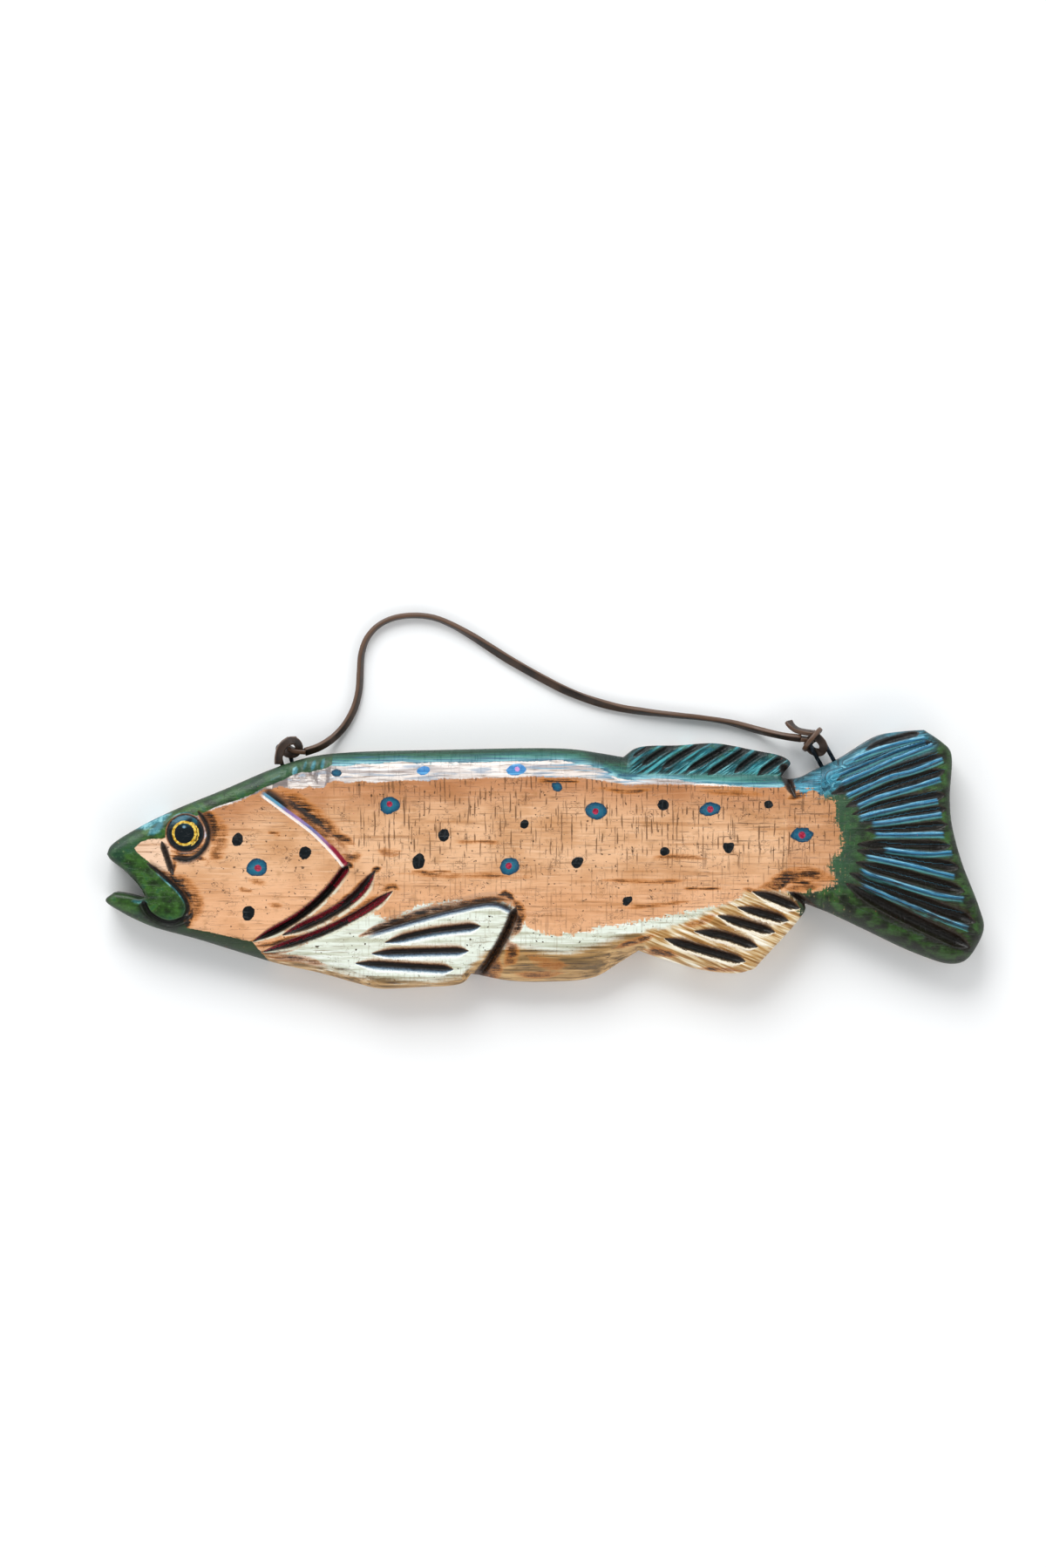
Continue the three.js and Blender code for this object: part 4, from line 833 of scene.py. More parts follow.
def painted_wood():
    f = Finish("painted_wood_finish")
    field = f.field
    x, y = f.axis("X"), f.axis("Y")
    broad = f.noise(0.045, 0.07, 0.07, 3, 4)
    mottle = f.noise(0.2, 0.26, 0.26, 41, 4)
    grit = f.noise(0.9, 0.9, 0.9, 5, 3)
    crumb = f.noise(2.2, 2.2, 2.2, 31, 2)
    streak = f.noise(0.028, 0.5, 0.5, 11, 4)
    fine = f.noise(0.09, 1.7, 1.7, 23, 3)
    dry = f.noise(0.05, 1.0, 1.0, 37, 4)
    brush, hair = f.brushed(0.06, 0.75, 13), f.brushed(0.12, 2.2, 29)
    weave = f.noise(1.1, 0.2, 0.3, 53, 3).max(f.noise(0.25, 1.0, 0.3, 59, 3))

    # the sawn board: upright and level marks like the threads of linen, curls, specks and lengthwise scratches
    thread = f.math("SINE", x * 3.07 + (f.noise(0.25, 0.05, 0.05, 71, 2) - 0.5) * 6)
    row = f.math("SINE", y * 3.5 + (f.noise(0.05, 0.3, 0.3, 73, 2) - 0.5) * 6)
    upright = thread.ease(0.45, 0.98) * f.noise(0.4, 0.17, 0.17, 79, 3).ease(0.49, 0.62)
    lone = f.noise(1.3, 0.08, 0.08, 7, 2).ease(0.62, 0.7)
    level = row.ease(0.5, 0.98) * f.noise(0.14, 0.5, 0.5, 83, 3).ease(0.5, 0.64)
    ticks = (upright.max(lone * 0.8) * field("marks")).max(level * (x.ease(40, 80) * 0.5 + 0.35))
    curl = f.math("ABSOLUTE", f.noise(0.4, 0.5, 0.5, 89, 2) - 0.5).ease(0.022, 0.004)
    curl = curl * f.noise(0.13, 0.2, 0.2, 91, 2).ease(0.54, 0.62)
    speck = f.noise(0.75, 0.75, 0.75, 97, 1).ease(0.69, 0.75)
    scratch = fine.ease(0.58, 0.7) * f.noise(0.05, 0.12, 0.1, 103, 2).ease(0.42, 0.58)

    # thin tan paint, darker and browner below the white band
    skin = f.mix("#dfb088", "#c8956a", broad.ease(0.38, 0.64))
    skin = f.mix(skin, "#e9c09c", f.noise(0.06, 0.9, 0.9, 61, 3).ease(0.54, 0.72) * 0.6)
    skin = f.mix(skin, "#e2a77c", y.ease(0, -18) * 0.45)
    skin = f.glaze(skin, "#c79f78", field("white").ease(-17, -1) * 0.7)
    skin = f.mix(skin, "#eccbb0", x.ease(-150.5, -152.5) * 0.75)
    skin = f.mix(skin, "#a9713f", streak.ease(0.52, 0.74) * 0.6)
    skin = f.mix(skin, "#96683a", mottle.ease(0.56, 0.72) * 0.35)
    skin = f.mix(skin, "#5f3c1b", (ticks * 0.85).max(curl * 0.7))
    skin = f.mix(skin, "#83572c", scratch * 0.6)
    skin = f.mix(skin, "#3f260f", speck * 0.8)

    # the mint-white belly
    belly = f.mix("#dde3d6", "#b9bba4", streak.ease(0.44, 0.66))
    belly = f.mix(belly, "#f0f3ec", dry.ease(0.54, 0.68) * 0.7)
    belly = f.mix(belly, "#85744e", (ticks * 0.7).max(scratch * 0.7).max(curl * 0.6))
    belly = f.mix(belly, "#3d2d14", speck)
    skin = f.mix(skin, belly, (field("belly") + (grit - 0.5) * 2.6 + (weave - 0.6) * 7).ease(-0.5, 0.5))

    # the white band under the back
    band = f.mix("#e4d9d1", "#aca29f", streak.ease(0.44, 0.6))
    band = f.mix(band, "#f3eee9", dry.ease(0.53, 0.64) * 0.8)
    band = f.mix(band, "#7f93a8", f.noise(0.06, 0.5, 0.5, 101, 3).ease(0.54, 0.66) * 0.7)
    band = f.mix(band, "#7d6655", fine.ease(0.54, 0.66) * 0.75)
    # upright dark streaks at the front end, painted shade on the knife-cut facets there
    band = f.mix(band, "#655a58", f.noise(0.28, 0.12, 0.12, 107, 3).ease(0.5, 0.6) * x.ease(-80, -87) * 0.8)
    band = f.mix(band, "#4f8aa6", dry.ease(0.49, 0.58) * x.ease(-16, 4) * x.ease(48, 30) * 0.85)
    skin = f.mix(skin, band, (field("white") + (grit - 0.5) * 1.5 + (fine - 0.5) * 1.5).ease(-0.25, 0.3))

    # the blue, teal and green back with its dry-brushed strokes
    blue = f.coat("#3d7f92", dry, [(0.4, "#1f5468", 1), (0.52, "#437f8c", 1), (0.66, "#8fc0c8", 1)])
    teal = f.coat("#2f7a72", dry, [(0.38, "#164a4a", 1), (0.52, "#25655e", 1), (0.68, "#4c9086", 1)])
    green = f.coat("#23604a", fine, [(0.36, "#0f2e20", 1), (0.5, "#1a4c38", 1), (0.68, "#2f6b52", 1)])
    depth = field("blue") + (dry - 0.5) * 5
    back = f.mix(blue, teal, depth.ease(1, 2.8))
    back = f.mix(back, green, (field("green") + (dry - 0.5) * 5).ease(-0.8, 0.8))
    back = f.mix(back, "#0f2a1e", field("inset").ease(2.6, 0.2) * 0.7)
    back = f.mix(back, "#0c1f1c", x.ease(12, 24) * x.ease(40, 34) * y.ease(37.5, 40.5) * 0.85)
    skin = f.mix(skin, back, (field("blue") + (dry - 0.5) * 3.5 + (grit - 0.5) * 1.2).ease(-0.2, 0.3))
    shelf = (y + (hair - 0.5) * 3).ease(34, 35.6) * x.ease(33, 37) * x.ease(104, 100)
    fin = f.coat("#123c3e", brush, [(0.36, "#081c1b", 1), (0.46, "#103c3e", 1), (0.55, "#1f6470", 1), (0.68, "#4fa9ae", 1)])
    fin = f.mix(fin, "#1f5a36", mottle.ease(0.5, 0.62) * y.ease(38, 44) * 0.6)
    fin = f.mix(fin, "#7cc9cf", hair.ease(0.53, 0.64) * brush.ease(0.44, 0.54) * y.ease(43.5, 37) * 0.9)
    skin = f.mix(skin, fin, shelf)

    # brown washes along the bottom and over the rear fin
    wash = f.coat("#a57c48", streak, [(0.34, "#cda46b", 1), (0.48, "#a97f45", 1), (0.58, "#7f5c28", 1), (0.7, "#4a3413", 1)])
    wash = f.mix(wash, "#43290f", fine.ease(0.55, 0.66) * 0.8)
    edge = field("wash") + (streak - 0.5) * 9 + (grit - 0.5) * 1.6
    skin = f.mix(skin, wash, edge.ease(-1.4, 2.2) * 0.95)
    rear = f.coat("#d9cbab", brush, [(0.33, "#f1ebdb", 1), (0.45, "#d3bd95", 1), (0.54, "#b08750", 1), (0.68, "#7d5425", 1)])
    rear = f.mix(rear, "#5f3c18", hair.ease(0.58, 0.7) * 0.5)
    skin = f.mix(skin, rear, (field("anal_fin") + (mottle - 0.5) * 5 + (grit - 0.5) * 1.5).ease(-1, 1.2))

    # brown stain that was rubbed into the carving
    rubbed = (mottle + dry + hair * 1.5 + crumb * 0.5) * 0.25 - 0.5
    stain = field("stain") * (1 + rubbed * 7) + (grit - 0.5) * field("stain") * 0.8
    skin = f.coat(skin, stain, [
        (0.06, "#c98442", 0), (0.24, "#bb7330", 0.45), (0.42, "#a3601f", 0.75), (0.62, "#744212", 0.9),
        (0.85, "#3a1f09", 0.97), (1.15, "#190d04", 1)])

    # the green head, and the green tail that is scrubbed on at its root
    head = f.coat("#2a4d26", mottle, [(0.34, "#16290c", 1), (0.47, "#254416", 1), (0.57, "#375d22", 1), (0.68, "#245030", 1)])
    head = f.mix(head, "#1a4032", (broad.ease(0.46, 0.6) * 0.6).max(y.ease(18, 34) * 0.45))
    head = f.mix(head, "#6c9563", grit.ease(0.6, 0.76) * 0.35)
    head = f.mix(head, "#1c2a0f", y.ease(-25, -30) * x.ease(-160, -146) * 0.8)
    head = f.mix(head, "#0f1d0e", field("inset").ease(2.4, 0.2) * 0.65)
    # pale cyan painted highlights on the head's bevels and edges, where they face the light
    head = f.mix(head, f.mix("#2b7684", "#7fb9c2", (mottle + grit * 0.5).ease(0.7, 0.92)),
                 (field("painted_highlight") * (0.5 + mottle) + (grit - 0.5) * 0.25).ease(0.2, 0.95) * 0.85)
    skin = f.mix(skin, head, (field("head") + (grit - 0.5) * 0.7).ease(-0.15, 0.2))
    tail = f.coat("#1c2d12", mottle, [(0.34, "#0f1507", 1), (0.46, "#1a2a10", 1), (0.56, "#2c4a1c", 1), (0.7, "#36602a", 1)])
    tail = f.mix(tail, "#34553c", x.ease(132, 118) * y.ease(-16, -6) * 0.8)
    tail = f.mix(tail, "#16120a", (brush - 0.5).ease(-0.1, 0.14) * y.ease(-8, -30) * 0.8)
    tail = f.mix(tail, "#a38a60", thread.ease(0.4, 0.95) * weave.ease(0.58, 0.68) * x.ease(126, 119) * 0.5)
    lobe = f.coat("#2a6f86", brush, [(0.36, "#113440", 1), (0.47, "#256a80", 1), (0.56, "#3f93ab", 1), (0.68, "#8fcbd8", 1)])
    lobe = f.mix(lobe, "#0e2a33", hair.ease(0.55, 0.66) * 0.75)
    tail = f.mix(tail, lobe, (y - x * 0.41 + 20.6 + (hair - 0.5) * 5).ease(-2.5, 2.5) * x.ease(161, 152))
    tail = f.mix(tail, "#101b0d", field("inset").ease(3.4, 0.3) * 0.6)
    skin = f.mix(skin, tail, (field("tail") + (weave - 0.6) * 11 + (crumb - 0.5) * 2).ease(-0.4, 0.4))

    # the cuts, in bands across each of them: dark stain together with painted shade in their bottoms and on their
    # shaded walls
    rag = (grit - 0.5) * 0.6 + (crumb - 0.5) * 0.4
    long_rag = rag + (hair - 0.5) * 0.8
    skin = f.across(skin, "tail_cut", long_rag, [
        (-1.8, "#140d05", 0), (-1.2, "#140d05", 0.9), (0, "#0a0602", 1), (0.9, "#1d1006", 0.97), (1.3, "#2b1908", 0.6),
        (1.8, "#2b1908", 0)])
    # blue dry-brush along the tail's ridges together with painted highlights on them, brighter on the upper ridges
    ridge = field("ridge") + (hair - 0.5) * 1.6 + (brush - 0.5) * 1
    skin = f.coat(skin, ridge, [
        (-1.9, "#16301c", 0), (-1.4, "#234a3a", 0.6), (-0.95, "#4b8f90", 0.95), (-0.55, "#235f7a", 1), (-0.15, "#0d2833", 1),
        (0.15, "#1f5f80", 1), (0.65, "#2f7fa8", 1), (0.95, "#86c2d8", 1), (1.2, "#1f546c", 0.8), (1.6, "#122a32", 0)],
        (field("ridge_blue_and_highlight") * (0.5 + brush * 0.9) + (hair - 0.5) * 0.9 + (mottle - 0.5) * 0.5).ease(0.2, 0.62) * 0.95)
    skin = f.across(skin, "anal", long_rag, [
        (-2, "#efe8d6", 0), (-1.4, "#f3eee2", 0.8), (-1.15, "#e4d6b6", 0.9), (-1, "#4a3722", 0.97), (-0.6, "#10110d", 1),
        (0, "#120b05", 1), (0.6, "#1f1007", 1), (1, "#4a2b10", 0.95), (1.35, "#7d5022", 0.75), (2, "#93652e", 0)])
    skin = f.across(skin, "pectoral", rag * 0.8, [
        (-1.9, "#f4f5ee", 0), (-1.3, "#f6f7f2", 0.9), (-1.05, "#b7c4c9", 0.95), (-0.8, "#6b8092", 1), (-0.5, "#33414f", 1),
        (-0.25, "#16130f", 1), (0, "#140f0a", 1), (0.55, "#1b0f07", 1), (0.85, "#4a2a0f", 1), (1.1, "#8a5522", 0.85),
        (1.5, "#b07a3e", 0.35), (2, "#b07a3e", 0)])
    skin = f.across(skin, "dorsal", long_rag * 0.8, [
        (-1.5, "#0f2a2a", 0), (-1.05, "#0c1a18", 0.9), (0, "#050807", 1), (0.9, "#0c1614", 1), (1.3, "#123130", 0.5),
        (1.8, "#123130", 0)])
    # a painted shadow in slate and near-black along the pectoral fin's top edge, brown stain on the body above it
    edge = field("fin_edge") + rag * 0.9 + (hair - 0.5) * 0.8
    skin = f.coat(skin, edge, [
        (-2.6, "#f6f7f1", 0), (-1.9, "#f3f5f0", 0.85), (-1.4, "#8fa2ae", 0.9), (-0.9, "#43546a", 0.97), (-0.3, "#1a1d24", 1),
        (0.35, "#1f130a", 0.95), (1, "#40260f", 0.55), (1.8, "#7a4b1f", 0)], field("fin_on"))
    lip = (mottle * 1.2 + grit * 0.6 - 0.4).ease(0.25, 0.6)
    # the gill slits: dark stain and painted shade in each, pale paint on their lips
    for name in ("slit_a", "slit_b", "slit_c"):
        skin = f.across(skin, name, rag, [
            (-1.7, "#9a5f30", 0), (-1.2, "#5a2b12", 0.75), (-0.9, "#2c0d08", 1), (0, "#0c0807", 1), (0.55, "#11120e", 1),
            (0.9, "#2f3026", 0.95), (1.2, "#5b5138", 0.6), (1.6, "#8a6a44", 0)])
        skin = f.mix(skin, "#d7d9c4", field(name).ease(1, 1.3) * field(name).ease(2, 1.5) * field(name + "_side").ease(0, 0.4)
                     * lip * y.ease(-5, -14) * 0.8)
    skin = f.mix(skin, f.mix("#5e0f12", "#b01c3c", crumb.ease(0.5, 0.66)),
                 (field("crimson") + (grit - 0.5) * 1.6 + (crumb - 0.5) * 1).ease(0.42, 0.62) * 0.92)
    # dark stain and painted shade in the V-cuts by the fins, the tail's root, the notch and the snout
    for name in ("fin_rear", "root", "notch", "snout"):
        skin = f.across(skin, name, rag, [
            (-1.5, "#3a2210", 0), (-1, "#1d1008", 0.95), (0, "#140b05", 1), (0.9, "#2b1709", 0.95), (1.7, "#5a3415", 0)])
    skin = f.mix(skin, "#6a4223", (crumb + grit * 0.5).ease(0.76, 0.9) * field("fin_rear").ease(1.3, 0.9) * 0.8)
    # painted shade and dark stain in the eye socket, along the upper jaw's edge and in the recess below it
    skin = f.across(skin, "socket", rag * 0.7, [
        (-1.3, "#4a2a12", 0), (-0.8, "#171310", 0.95), (0, "#110f0d", 1), (0.7, "#4f2c10", 0.8), (1.6, "#7a4418", 0)])
    skin = f.across(skin, "hinge", rag * 0.6, [
        (-1, "#14231a", 0), (-0.5, "#0c120e", 0.95), (0, "#0e0c08", 1), (0.3, "#3a1f0b", 0.9), (0.7, "#7a4418", 0)])
    skin = f.across(skin, "jaw", rag * 0.6, [
        (-2.6, "#12160a", 0), (-1.4, "#0d0d06", 0.85), (0, "#080704", 1), (0.7, "#0b0c07", 1), (1.15, "#16240f", 0)])

    # the edge of the gill cover: painted shade and dark stain in the deep upper end of its cut, brown stain below it on
    # the body side, a strip along the edge in blue, violet and crimson that is paint and painted sheen together, and a
    # pale painted highlight on the edge itself
    run = field("gill_run")
    ends = field("gill_on")
    body = field("gill_off") + rag * 0.5
    skin = f.coat(skin, body, [(-0.6, "#0e0a07", 0), (0, "#0e0a07", 1), (2, "#1a0f07", 1), (3, "#40230d", 0.8), (4.4, "#7a4a1c", 0)],
                  (run + (grit - 0.5) * 4).ease(17, 10) * ends)
    sheen = f.coat("#7fb4cf", run + (mottle - 0.5) * 8, [
        (0, "#6fa9c6", 1), (8, "#5f9fc0", 1), (14, "#7d6aa6", 1), (20, "#a486bd", 1), (25, "#5d72a8", 1), (31, "#8d78ab", 1),
        (37, "#96406f", 1), (41, "#8e1436", 1)])
    skin = f.mix(skin, sheen, body.ease(-0.5, -0.1) * body.ease(1.15, 0.75) * ends * 0.95)
    skin = f.mix(skin, "#f2e9e2", body.ease(-1.5, -1.0) * body.ease(-0.1, -0.45) * ends * 0.92)
    skin = f.mix(skin, "#8a1230", body.ease(-0.2, 0.3) * body.ease(1.9, 1.2) * run.ease(33, 37) * ends)

    # spots, in thicker paint
    soft = (grit - 0.5) * 0.5 + (mottle - 0.5) * 2.4
    black = f.mix("#0c1114", "#1f2b31", grit.ease(0.56, 0.76))
    spot = (field("spot") + soft * 0.8).ease(-0.1, 0.1)
    skin = f.mix(skin, black, spot)
    rim = field("teal") + soft
    teal_spot = rim.ease(-0.12, 0.12)
    disc = f.coat("#17506c", rim + (grit - 0.5), [(0, "#0d2f42", 1), (0.7, "#174d68", 1), (1.6, "#1d5f78", 1), (2.6, "#256c80", 1)])
    skin = f.mix(skin, disc, teal_spot)
    sky_spot = (field("sky") + soft * 0.7).ease(-0.12, 0.12)
    skin = f.mix(skin, f.mix("#2f78b4", "#5fa3d2", dry.ease(0.48, 0.6)), sky_spot)
    heart = (field("heart") + soft * 0.5).ease(-0.12, 0.15)
    skin = f.mix(skin, f.mix("#8c1730", "#b23352", grit.ease(0.45, 0.65)), heart * teal_spot)
    skin = f.mix(skin, "#c48cc4", heart * sky_spot)

    # the eye, with a painted highlight on the facet beside it, a painted reflection along the top of its disc and a
    # painted glint
    pupil = field("pupil") + (grit - 0.5) * 0.25
    skin = f.mix(skin, f.mix("#5c86a2", "#d3cfd6", grit.ease(0.4, 0.58)), (field("facet_highlight") + soft * 0.3).ease(-0.1, 0.6))
    skin = f.coat(skin, pupil, [(-0.9, "#a5642c", 0), (-0.5, "#8a4e1f", 0.8), (-0.2, "#3a2210", 0.95), (0, "#0b1418", 1), (1, "#0b1418", 1)])
    sheen = y.ease(12.5, 16.5) * pupil.ease(0, 0.5) * mottle.ease(0.34, 0.55)
    skin = f.mix(skin, "#25677a", sheen * 0.75)
    gold = f.mix("#b98a1f", "#e6c65a", grit.ease(0.42, 0.6))
    skin = f.mix(skin, gold, (field("iris") + (grit - 0.5) * 0.45).ease(-0.06, 0.12) * 0.96)
    skin = f.mix(skin, "#8fb8cc", field("glint").ease(0, 0.9) * 0.8)

    # bare brown wood behind
    bare = f.mix("#a8794a", "#7c5430", streak.ease(0.4, 0.68))
    bare = f.mix(bare, "#4f3218", (fine.ease(0.58, 0.7) * 0.6).max(lone * 0.4))
    raw = (field("raw") + (grit - 0.5) * 0.5).ease(0.3, 0.6)
    skin = f.mix(skin, bare, raw)

    thick = spot.max(teal_spot).max(pupil.ease(-0.1, 0.2)).max(sky_spot)
    relief = (streak * 0.14 + fine * 0.1 + grit * 0.05 + crumb * 0.03 + hair * field("tail").ease(0, 2) * 0.3
              - ticks * 0.16 - scratch * 0.1 - speck * 0.1 - curl * 0.06 + thick * 0.06)
    rough = 0.26 + streak * 0.16 + grit * 0.14 + ticks * 0.15 - thick * 0.06
    return f.finish(skin, rough, relief, 1.0, Specular_IOR_Level=0.35, Coat_Weight=0.06, Coat_Roughness=0.16)


def leather():
    f = Finish("lace_leather")
    cloud = f.noise(0.12, 0.12, 0.12, 2, 4)
    pore = f.noise(2.4, 2.4, 2.4, 9, 3)
    crease = f.noise(0.9, 0.9, 0.9, 17, 3, 0.6)
    skin = f.mix("#1b110b", "#3c281a", cloud.ease(0.36, 0.66))
    skin = f.mix(skin, "#5c4330", crease.ease(0.6, 0.78) * 0.5)
    skin = f.mix(skin, "#6a4a33", f.field("worn").ease(0.2, 0.9) * 0.55)
    relief = pore * 0.05 + crease * 0.08
    return f.finish(skin, 0.36 + cloud * 0.22, relief, 1.0, Coat_Weight=0.12, Coat_Roughness=0.3)


def blackened_wire():
    f = Finish("blackened_wire")
    patina = f.noise(0.5, 0.5, 0.5, 3, 4)
    pit = f.noise(3, 3, 3, 8, 2)
    skin = f.mix("#1d232a", "#4a545e", patina.ease(0.4, 0.7))
    skin = f.mix(skin, "#4a2d1c", pit.ease(0.64, 0.76) * 0.5)
    return f.finish(skin, 0.34 + patina * 0.25, pit * 0.03, 1.0, Metallic=0.85)


def pale_floor():
    f = Finish("pale_floor")
    cloud = f.noise(0.01, 0.01, 0.01, 1, 3)
    grain = f.noise(0.8, 0.8, 0.8, 4, 2)
    return f.finish(f.mix("#f6f6f6", "#f2f2f2", cloud), 0.75 + grain * 0.1, grain * 0.02, 1.0)


# The lace between its knots: x, y and height of its middle, where along it which turn is seen, and its section
LACE_COURSE = [
    [-97.6, 43.6, 8.2], [-92, 45.6, 6.6], [-86.6, 49.2, 3.8], [-81.6, 54.6, 2], [-77.8, 61.6, 1.8],
    [-75.9, 69, 1.8], [-75.4, 76.6, 1.8], [-74.8, 84, 1.8], [-72.6, 90.2, 1.8], [-68.2, 95.2, 1.8],
    [-61.8, 98.4, 1.8], [-53.5, 99.5, 1.8], [-45.4, 98.6, 1.8], [-37.8, 95.6, 1.8], [-30.2, 91.4, 1.8],
    [-22.7, 86.6, 1.8], [-15.2, 81.8, 1.8], [-7.6, 77.4, 1.8], [0.6, 72.9, 1.8], [9.4, 68.5, 1.8],
    [19.4, 64.7, 1.8], [30.6, 61.7, 1.8], [42.6, 59.9, 1.8], [54.6, 58.6, 1.8], [66, 57.4, 1.8],
    [76.4, 55.6, 1.9], [85.4, 53.1, 3], [92.8, 51.1, 5.4], [99, 49.8, 7.6], [104.4, 49.1, 8.4],
]
LACE_TURN = [(0, 40), (0.08, 48), (0.2, 66), (0.3, 82), (0.4, 70), (0.5, 24), (0.62, 14), (0.74, 62), (0.84, 86),
             (0.92, 60), (1, 50)]
LACE_WIDTH = 3.3
LACE_THICK = 1.9


def ribbon(points, widths, sides, ups, corner=0.55, steps=3):
    """A strap with rounded edges through the points, as vertices, faces and how near its edges each vertex is."""
    outline = []
    half_width, half_thick = LACE_WIDTH / 2, LACE_THICK / 2
    for sx, sy, start in ((1, 1, 0), (-1, 1, 90), (-1, -1, 180), (1, -1, 270)):
        for k in range(steps + 1):
            angle = math.radians(start + 90 * k / steps)
            outline.append((sx * (half_width - corner) + corner * math.cos(angle),
                            sy * (half_thick - corner) + corner * math.sin(angle)))
    outline = np.array(outline)
    count = len(outline)
    rows = [p + w * (u * s[None, :] + v * t[None, :])
            for p, w, s, t in zip(points, widths, sides, ups)
            for u, v in [(outline[:, :1], outline[:, 1:])]]
    faces = []
    for i in range(len(points) - 1):
        for k in range(count):
            a, b = i * count + k, i * count + (k + 1) % count
            faces.append((a, b, b + count, a + count))
    faces.append(tuple(range(count - 1, -1, -1)))
    last = (len(points) - 1) * count
    faces.append(tuple(last + k for k in range(count)))
    edge = np.tile(ease(np.abs(outline[:, 0]), half_width - 1.1 * corner, half_width), len(points))
    return np.vstack(rows), faces, edge


def frames(points, faces_up):
    """Directions along, across and out of a strap whose wide side faces the given way."""
    way = np.gradient(points, axis=0)
    way /= np.linalg.norm(way, axis=1)[:, None]
    across = np.cross(faces_up, way)
    across /= np.linalg.norm(across, axis=1)[:, None]
    return across, np.cross(way, across)


def join(parts):
    vertices, faces, worn, base = [], [], [], 0
    for rows, polygons, edge in parts:
        vertices.append(rows)
        faces += [tuple(i + base for i in polygon) for polygon in polygons]
        worn.append(edge)
        base += len(rows)
    return np.vstack(vertices), faces, np.concatenate(worn)


def lace(material):
    line = smooth(LACE_COURSE, 1.3)
    share = np.linspace(0, 1, len(line))
    turn = np.radians(np.interp(share, *np.array(LACE_TURN, float).T))
    half = (LACE_WIDTH * np.sin(turn) + LACE_THICK * np.cos(turn)) / 2
    lying = ease(line[:, 2], 1.9, 5)
    line[:, 2] = lying * line[:, 2] + (1 - lying) * (half + 0.15)
    across, up = frames(line, np.tile([0.0, 0, 1], (len(line), 1)))
    sides = across * np.cos(turn)[:, None] + up * np.sin(turn)[:, None]
    ups = up * np.cos(turn)[:, None] - across * np.sin(turn)[:, None]
    widths = 1 + 0.04 * ripple(share * 270, 9, 5)
    rows, faces, worn = ribbon(line, widths, sides, ups)
    obj = make_object("lace_strap", rows, faces, material, {"worn": worn})
    length = np.linalg.norm(np.diff(line, axis=0), axis=1).sum()
    return obj, line, length


# The knots, strap by strap: its points and the way that its wide side faces
HEAD_KNOT = [
    ([[-108.2, 38.7, 11.6], [-108, 42, 12.2], [-106.9, 45.6, 12.4], [-104, 48, 11.4], [-101.4, 48.3, 9]],
     [0.3, 0.1, 1]),
    ([[-105.2, 47.6, 11.6], [-101.6, 48, 10], [-100, 45.2, 8.4], [-102.2, 42.8, 7.4], [-105.6, 43.4, 6],
      [-106.6, 46.4, 5.6], [-104, 48.4, 7.2]], [0, 0, 1]),
    ([[-104.6, 45.4, 8.4], [-102, 44.2, 8.4], [-97.4, 43.7, 8.2]], [0, 1, 0.3]),
]
TAIL_KNOT = [
    ([[111.6, 51.6, 6], [111.4, 52, 9.4], [109.6, 50.2, 12], [107, 47, 11.8], [106.4, 45.4, 8.6],
      [107.4, 45.6, 5.6]], [0.75, -0.65, 0.1]),
    ([[107.4, 51, 9.6], [110.8, 49.6, 9.8], [113.4, 46.2, 9.2], [112.6, 43.6, 7.6], [109.4, 44, 6.6],
      [107.4, 46, 6.6]], [0, 0, 1]),
    ([[107, 46, 5.6], [109, 49, 4.6], [111.2, 51.6, 5.6]], [0.4, 0, 1]),
    ([[109.6, 51.2, 9.2], [106.4, 51.6, 8.8], [102.6, 52.6, 8.4], [100.2, 54.6, 7.8], [99.4, 56, 7.2]],
     [0, 1, 0.4]),
    ([[109.6, 48.4, 8.2], [107.2, 48.7, 8.3], [104.2, 49, 8.4]], [0, 1, 0.4]),
]


def knot(name, straps, material):
    parts = []
    for points, face in straps:
        line = smooth(points, 0.6)
        across, up = frames(line, np.tile(np.array(face, float), (len(line), 1)))
        parts.append(ribbon(line, np.ones(len(line)), across, up))
    rows, faces, worn = join(parts)
    return make_object(name, rows, faces, material, {"worn": worn})


# The staples: middle of the two legs at the wood, heading of the legs, reach and turn about the heading
WIRE = 1.7
STAPLES = {"head": [(-104.8, 38.7, 8), 107, 8, 45], "tail": [(115.4, 38.8, 8), 119, 11, 0]}
STAPLE_SPAN = 7.2
STAPLE_BITE = 9
BEND = 1.6


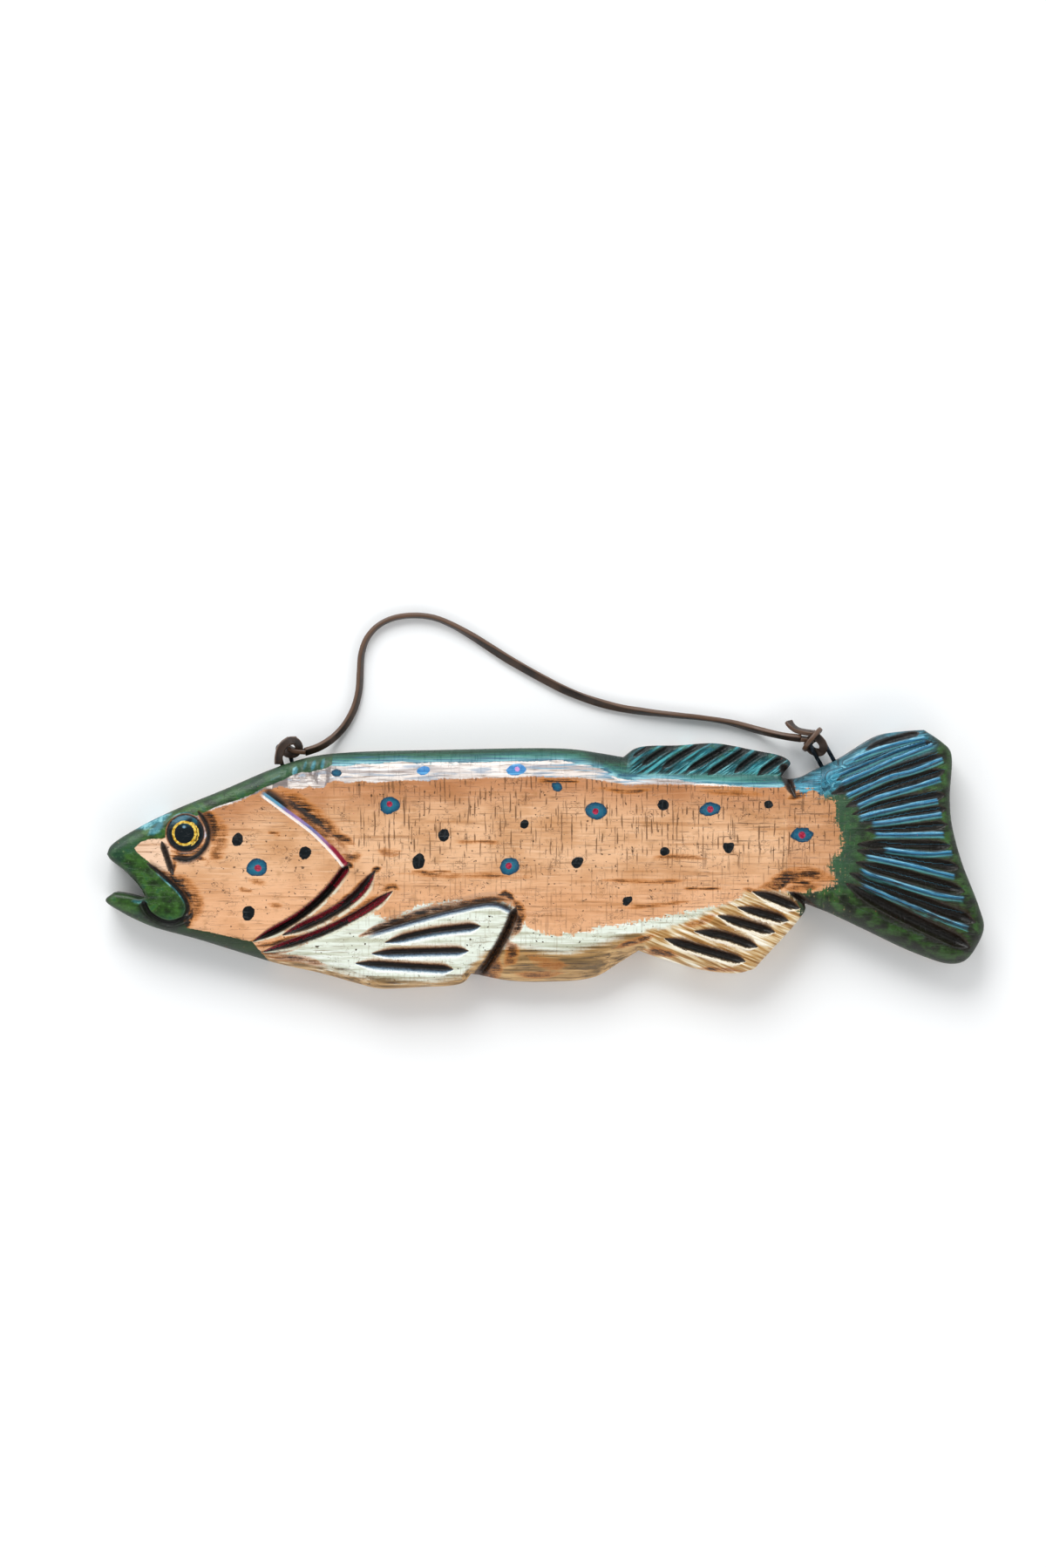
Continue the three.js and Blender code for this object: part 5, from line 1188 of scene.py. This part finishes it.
def staple(end, material):
    (x, y, z), heading, reach, turn = STAPLES[end]
    angle = math.radians(heading)
    out = np.array([math.cos(angle), math.sin(angle), 0])
    flat = np.array([math.sin(angle), -math.cos(angle), 0])
    t = math.radians(turn)
    across = flat * math.cos(t) + np.cross(out, flat) * math.sin(t)
    half = (STAPLE_SPAN - WIRE) / 2
    plan = [(-half, -STAPLE_BITE)]
    for centre, start in ((BEND - half, 180), (half - BEND, 90)):
        for k in range(7):
            a = math.radians(start - 15 * k)
            plan.append((centre + BEND * math.cos(a), reach - BEND + BEND * math.sin(a)))
    plan.append((half, -STAPLE_BITE))
    line = np.array([np.array([x, y, z]) + u * across + v * out for u, v in plan])
    normal = np.cross(across, out)
    way = np.gradient(line, axis=0)
    way /= np.linalg.norm(way, axis=1)[:, None]
    sides = 16
    rows, faces = [], []
    for i, (p, w) in enumerate(zip(line, way)):
        side = np.cross(w, normal)
        for k in range(sides):
            a = 2 * math.pi * k / sides
            rows.append(p + WIRE / 2 * (math.cos(a) * side + math.sin(a) * normal))
            if i < len(line) - 1:
                n = i * sides
                faces.append((n + k, n + (k + 1) % sides, n + sides + (k + 1) % sides, n + sides + k))
    faces += [tuple(range(sides - 1, -1, -1)), tuple((len(line) - 1) * sides + k for k in range(sides))]
    return make_object(f"wire_{end}", np.array(rows), faces, material)


# What the camera sees, in millimetres: the photograph's middle and height, at the height of the fish's edge
VIEW_CENTRE = (-8.83, 30.55)
VIEW_DISTANCE = 1500.25
VIEW_LEVEL = 16
WALL_LIGHT = 1.3
CEILING_LIGHT = 0.04


def studio_walls():
    """A room with bright walls and a dim ceiling, so that the gloss of a face that looks up stays dark."""
    world = bpy.data.worlds.new("world")
    world.use_nodes = True
    nodes, links = world.node_tree.nodes, world.node_tree.links
    parts = nodes.new("ShaderNodeSeparateXYZ")
    links.new(nodes.new("ShaderNodeTexCoord").outputs["Generated"], parts.inputs[0])
    level = nodes.new("ShaderNodeMapRange")
    for key, value in (("From Min", 0.6), ("From Max", 0.92), ("To Min", WALL_LIGHT), ("To Max", CEILING_LIGHT)):
        level.inputs[key].default_value = value
    links.new(parts.outputs["Z"], level.inputs["Value"])
    links.new(level.outputs["Result"], nodes["Background"].inputs["Strength"])
    nodes["Background"].inputs["Color"].default_value = (0.97, 0.985, 1, 1)
    return world


def stage():
    scene = bpy.context.scene
    camera = bpy.data.objects.new("camera", bpy.data.cameras.new("camera"))
    scene.collection.objects.link(camera)
    camera.data.lens = 85
    camera.data.sensor_width = 36
    camera.data.clip_end = 20
    camera.location = (VIEW_CENTRE[0] * MM, VIEW_CENTRE[1] * MM, (VIEW_DISTANCE + VIEW_LEVEL) * MM)
    scene.camera = camera
    size = 6
    floor = bpy.data.meshes.new("floor")
    floor.from_pydata([(sx * size / 2, sy * size / 2, -0.0002) for sx, sy in ((-1, -1), (1, -1), (1, 1), (-1, 1))],
                      [], [(0, 1, 2, 3)])
    table = bpy.data.objects.new("floor", floor)
    scene.collection.objects.link(table)
    floor.materials.append(pale_floor())
    lights = [("key", (-0.45, 1.6, 1.3), 1.3, 34, (0.97, 0.99, 1)), ("fill", (0.7, -1.5, 0.9), 1.6, 6, (1, 0.97, 0.93))]
    for name, place, width, power, colour in lights:
        lamp = bpy.data.lights.new(name, "AREA")
        lamp.size = width
        lamp.energy = power
        lamp.color = colour
        obj = bpy.data.objects.new(name, lamp)
        obj.location = place
        obj.rotation_euler = (-Vector(place)).to_track_quat("-Z", "Y").to_euler()
        scene.collection.objects.link(obj)
    scene.world = studio_walls()
    scene.view_settings.view_transform = "Standard"
    scene.view_settings.look = "None"


def main():
    stage()
    hide = leather()
    strap, line, length = lace(hide)
    head, tail = knot("knot_by_head", HEAD_KNOT, hide), knot("knot_by_tail", TAIL_KNOT, hide)
    steel = blackened_wire()
    wires = [staple(end, steel) for end in STAPLES]
    vertices, faces, fields = board_mesh()
    fish = make_object("fish", vertices, faces, painted_wood(), fields)
    for piece, node, slot in ((fish, "fish_body", "painted_wood"), (strap, "lace", "leather"),
                              (head, "knot_head", "leather"), (tail, "knot_tail", "leather"),
                              (wires[0], "staple_head", "wire"), (wires[1], "staple_tail", "wire")):
        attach(piece, "root")
        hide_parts(node)
    line[0] * MM
    length * MM
    line * MM


main()
